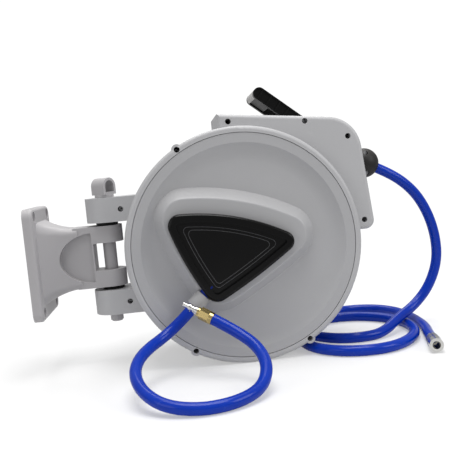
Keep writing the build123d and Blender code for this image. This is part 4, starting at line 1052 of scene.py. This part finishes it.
def bead_tree(finish: Finish) -> bpy.types.NodeTree:
    """Makes the tree that sweeps a thin round bead along a closed outline.

    Args:
        finish: The bead's finish.

    Returns:
        The tree, with the bead's radius and its number of sides as inputs.
    """
    group, tree, taken, given = new_group(
        "bead_along_" + finish.name,
        "GeometryNodeTree",
        (GEOMETRY, Socket("Bead radius", value=0.0004), Socket("Sides", "NodeSocketInt", 8)),
        (GEOMETRY,),
    )
    path = tree.add("GeometryNodeMeshToCurve")
    tree.join(taken.outputs["Geometry"], path.inputs["Mesh"])
    section = tree.add("GeometryNodeCurvePrimitiveCircle")
    tree.join(taken.outputs["Sides"], section.inputs["Resolution"])
    tree.join(taken.outputs["Bead radius"], section.inputs["Radius"])
    sweep = tree.add("GeometryNodeCurveToMesh")
    tree.join(path.outputs["Curve"], sweep.inputs["Curve"])
    tree.join(section.outputs["Curve"], sweep.inputs["Profile Curve"])
    smooth = tree.add("GeometryNodeSetShadeSmooth")
    tree.join(sweep.outputs["Mesh"], smooth.inputs["Geometry"])
    geometry_ends(tree, given, smooth.outputs["Geometry"], finish)
    return group


@dataclass
class HubLines:
    """Two fine raised lines that follow the hub cover's bowed, three-cornered outline, coloured mid grey
    on the black cover as painted highlight.
    """

    left: Place = (-0.101, 0.0495)
    right: Place = (0.072, 0.005)
    foot: Place = (-0.047, -0.070)
    top_bulge: Place = (-0.005, 0.0395)
    side_bulge: Place = (0.014, -0.0355)
    back_bulge: Place = (-0.080, -0.011)
    field: float = 0.106
    insets: tuple[float, ...] = (0.0165, 0.0205)
    corner: float = 0.005
    bead: float = 0.00045
    sides: int = 8
    rays: int = 720
    steps: int = 240

    @staticmethod
    def disc(a: Place, b: Place, c: Place) -> tuple[Vector, float]:
        """Finds the disc whose rim passes through three points.

        Args:
            a: First point.
            b: Second point.
            c: Third point.

        Returns:
            The disc's centre and radius.
        """
        ax, ay, bx, by, cx, cy = *a, *b, *c
        across = 2.0 * (ax * (by - cy) + bx * (cy - ay) + cx * (ay - by))
        aa, bb, cc = ax * ax + ay * ay, bx * bx + by * by, cx * cx + cy * cy
        x = (aa * (by - cy) + bb * (cy - ay) + cc * (ay - by)) / across
        y = (aa * (cx - bx) + bb * (ax - cx) + cc * (bx - ax)) / across
        return Vector((x, y)), math.hypot(ax - x, ay - y)

    def outline(self, inset: float) -> list[Vector]:
        """Walks round the outline, drawn in by the inset and rounded at its corners.

        Args:
            inset: How far inside the cover's edge it runs.

        Returns:
            Its points, from the drum's axis.
        """
        discs = (
            self.disc(self.left, self.top_bulge, self.right),
            self.disc(self.right, self.side_bulge, self.foot),
            self.disc(self.foot, self.back_bulge, self.left),
        )
        middle = (Vector(self.left) + Vector(self.right) + Vector(self.foot)) / 3.0
        shape = []
        for index in range(self.rays):
            turn = 2.0 * math.pi * index / self.rays
            way = Vector((math.cos(turn), math.sin(turn)))
            reach = []
            for centre, radius in discs:
                back = middle - centre
                along = back.dot(way)
                inside = (radius - inset - self.corner) ** 2 - back.length_squared
                reach.append(math.sqrt(along * along + inside) - along)
            shape.append(middle + way * min(reach))
        outline = []
        for index in range(self.steps):
            turn = 2.0 * math.pi * index / self.steps
            way = Vector((math.cos(turn), math.sin(turn)))
            far = max(shape, key=way.dot)
            outline.append(far + way * self.corner)
        return outline

    def build(self) -> None:
        """Builds both lines as one piece."""
        points: list[Point] = []
        edges: list[tuple[int, int]] = []
        for inset in self.insets:
            start = len(points)
            line = self.outline(inset)
            points.extend(drum_point(place.x, place.y, self.field) for place in line)
            count = len(line)
            edges.extend((start + index, start + (index + 1) % count) for index in range(count))
        seed = bpy.data.meshes.new("hub_lines_seed")
        seed.from_pydata(points, edges, [])
        # the lines' grey colour is painted highlight on black plastic
        rule = RuleMesh("hub_lines", HUB_LINE_HIGHLIGHT, "casing", "black_plastic")
        piece = rule.bake(seed, bead_tree(HUB_LINE_HIGHLIGHT), {"Bead radius": self.bead, "Sides": self.sides})
        rule.mount(piece)


def recess_tree(finish: Finish) -> bpy.types.NodeTree:
    """Makes the tree that puts a small cross at every point.

    Args:
        finish: The finish of the crosses.

    Returns:
        The tree, with the cross's length, width and depth as inputs.
    """
    group, tree, taken, given = new_group(
        "cross_at_points",
        "GeometryNodeTree",
        (
            GEOMETRY,
            Socket("Length", value=0.0034),
            Socket("Width", value=0.0008),
            Socket("Depth", value=0.0003),
        ),
        (GEOMETRY,),
    )
    both = tree.add("GeometryNodeJoinGeometry")
    for order in (("Length", "Width"), ("Width", "Length")):
        size = tree.add("ShaderNodeCombineXYZ")
        tree.join(taken.outputs[order[0]], size.inputs["X"])
        tree.join(taken.outputs["Depth"], size.inputs["Y"])
        tree.join(taken.outputs[order[1]], size.inputs["Z"])
        bar = tree.add("GeometryNodeMeshCube")
        tree.join(size.outputs[0], bar.inputs["Size"])
        tree.join(bar.outputs["Mesh"], both.inputs["Geometry"])
    spread = tree.add("GeometryNodeInstanceOnPoints")
    tree.join(taken.outputs["Geometry"], spread.inputs["Points"])
    tree.join(both.outputs["Geometry"], spread.inputs["Instance"])
    geometry_ends(tree, given, spread.outputs["Instances"], finish)
    return group


@dataclass
class ScrewCrosses:
    """Dark crosses of painted shade on the heads of the casing screws, standing in for the shade inside
    their cross recesses.
    """

    node: str = "casing_screws"
    depth: float = 0.0003
    proud: float = 0.00008
    apart: float = 0.012
    flatness: float = 0.00001

    def heads(self) -> list[Vector]:
        """Finds the middle of each screw head's front face.

        Returns:
            The middles, in the frame's axes.
        """
        groups: list[list[Vector]] = []
        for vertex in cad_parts[self.node].data.vertices:
            place = vertex.co
            for group in groups:
                if math.hypot(place.x - group[0].x, place.z - group[0].z) < self.apart:
                    group.append(place.copy())
                    break
            else:
                groups.append([place.copy()])
        middles = []
        for group in groups:
            front = min(place.y for place in group)
            rim = [place for place in group if place.y < front + self.flatness]
            x = (min(place.x for place in rim) + max(place.x for place in rim)) / 2.0
            z = (min(place.z for place in rim) + max(place.z for place in rim)) / 2.0
            middles.append(Vector((x, front, z)))
        return middles

    def build(self) -> None:
        """Builds all crosses as one piece."""
        seed = bpy.data.meshes.new("screw_crosses_seed")
        sunk = Vector((0.0, self.depth / 2 - self.proud, 0.0))
        seed.from_pydata([tuple(middle + sunk) for middle in self.heads()], [], [])
        # the crosses are painted shade, laid on the zinc heads where the recesses fall dark
        rule = RuleMesh("screw_crosses", RECESS_PAINTED_SHADE, "casing", "steel")
        piece = rule.bake(seed, recess_tree(RECESS_PAINTED_SHADE), {"Depth": self.depth})
        rule.mount(piece)


def knurl_tree(finish: Finish) -> bpy.types.NodeTree:
    """Makes the tree that stands long ridges round a ring.

    Args:
        finish: The ridges' finish.

    Returns:
        The tree, with the ring's radius and the ridges' number, length and width as inputs.
    """
    group, tree, taken, given = new_group(
        "ridges_round_ring",
        "GeometryNodeTree",
        (
            GEOMETRY,
            Socket("Ring radius", value=0.0098),
            Socket("Count", "NodeSocketInt", 40),
            Socket("Ridge length", value=0.008),
            Socket("Ridge width", value=0.0008),
        ),
        (GEOMETRY,),
    )
    ring = tree.add("GeometryNodeMeshCircle")
    tree.join(taken.outputs["Count"], ring.inputs["Vertices"])
    tree.join(taken.outputs["Ring radius"], ring.inputs["Radius"])
    rod = tree.add("GeometryNodeMeshCylinder")
    rod.inputs["Vertices"].default_value = 6
    half = tree.math("MULTIPLY", taken.outputs["Ridge width"], 0.5)
    tree.join(half, rod.inputs["Radius"])
    tree.join(taken.outputs["Ridge length"], rod.inputs["Depth"])
    spread = tree.add("GeometryNodeInstanceOnPoints")
    tree.join(ring.outputs["Mesh"], spread.inputs["Points"])
    tree.join(rod.outputs["Mesh"], spread.inputs["Instance"])
    geometry_ends(tree, given, spread.outputs["Instances"], finish)
    return group


@dataclass(frozen=True)
class Knurl:
    """One ring of lengthwise ridges round the coupler."""

    name: str
    body: str
    along: float
    radius: float
    count: int
    length: float = 0.006

    def build(self) -> None:
        """Builds the ring, so far along from the working hose's end."""
        seed = bpy.data.meshes.new(self.name + "_seed")
        seed.from_pydata([(0.0, 0.0, 0.0)], [], [])
        rule = RuleMesh(self.name, CHROME, self.body, "chrome")
        values = {"Ring radius": self.radius, "Count": self.count, "Ridge length": self.length}
        piece = rule.bake(seed, knurl_tree(CHROME), values)
        before, end = (Vector(place) for place in WORKING_ROUTE[-2:])
        way = (end - before).normalized()
        turn = way.to_track_quat("Z", "Y").to_matrix().to_4x4()
        piece.data.transform(Matrix.Translation(end + way * self.along) @ turn)
        rule.mount(piece)


KNURLS = (
    Knurl("collar_knurl", "casing", along=0.0045, radius=0.0083, count=40),
    Knurl("sleeve_knurl", "coupler_sleeve", along=0.0200, radius=0.00892, count=44),
)


def main() -> None:
    """Builds the studio, the hoses and every dressed piece."""
    logging.basicConfig(level=logging.INFO, format="%(message)s")
    Studio().build()
    for hose in HOSES:
        hose.build()
    dress_frame(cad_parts)
    HubLines().build()
    ScrewCrosses().build()
    for knurl in KNURLS:
        knurl.build()


if __name__ == "__main__":
    main()
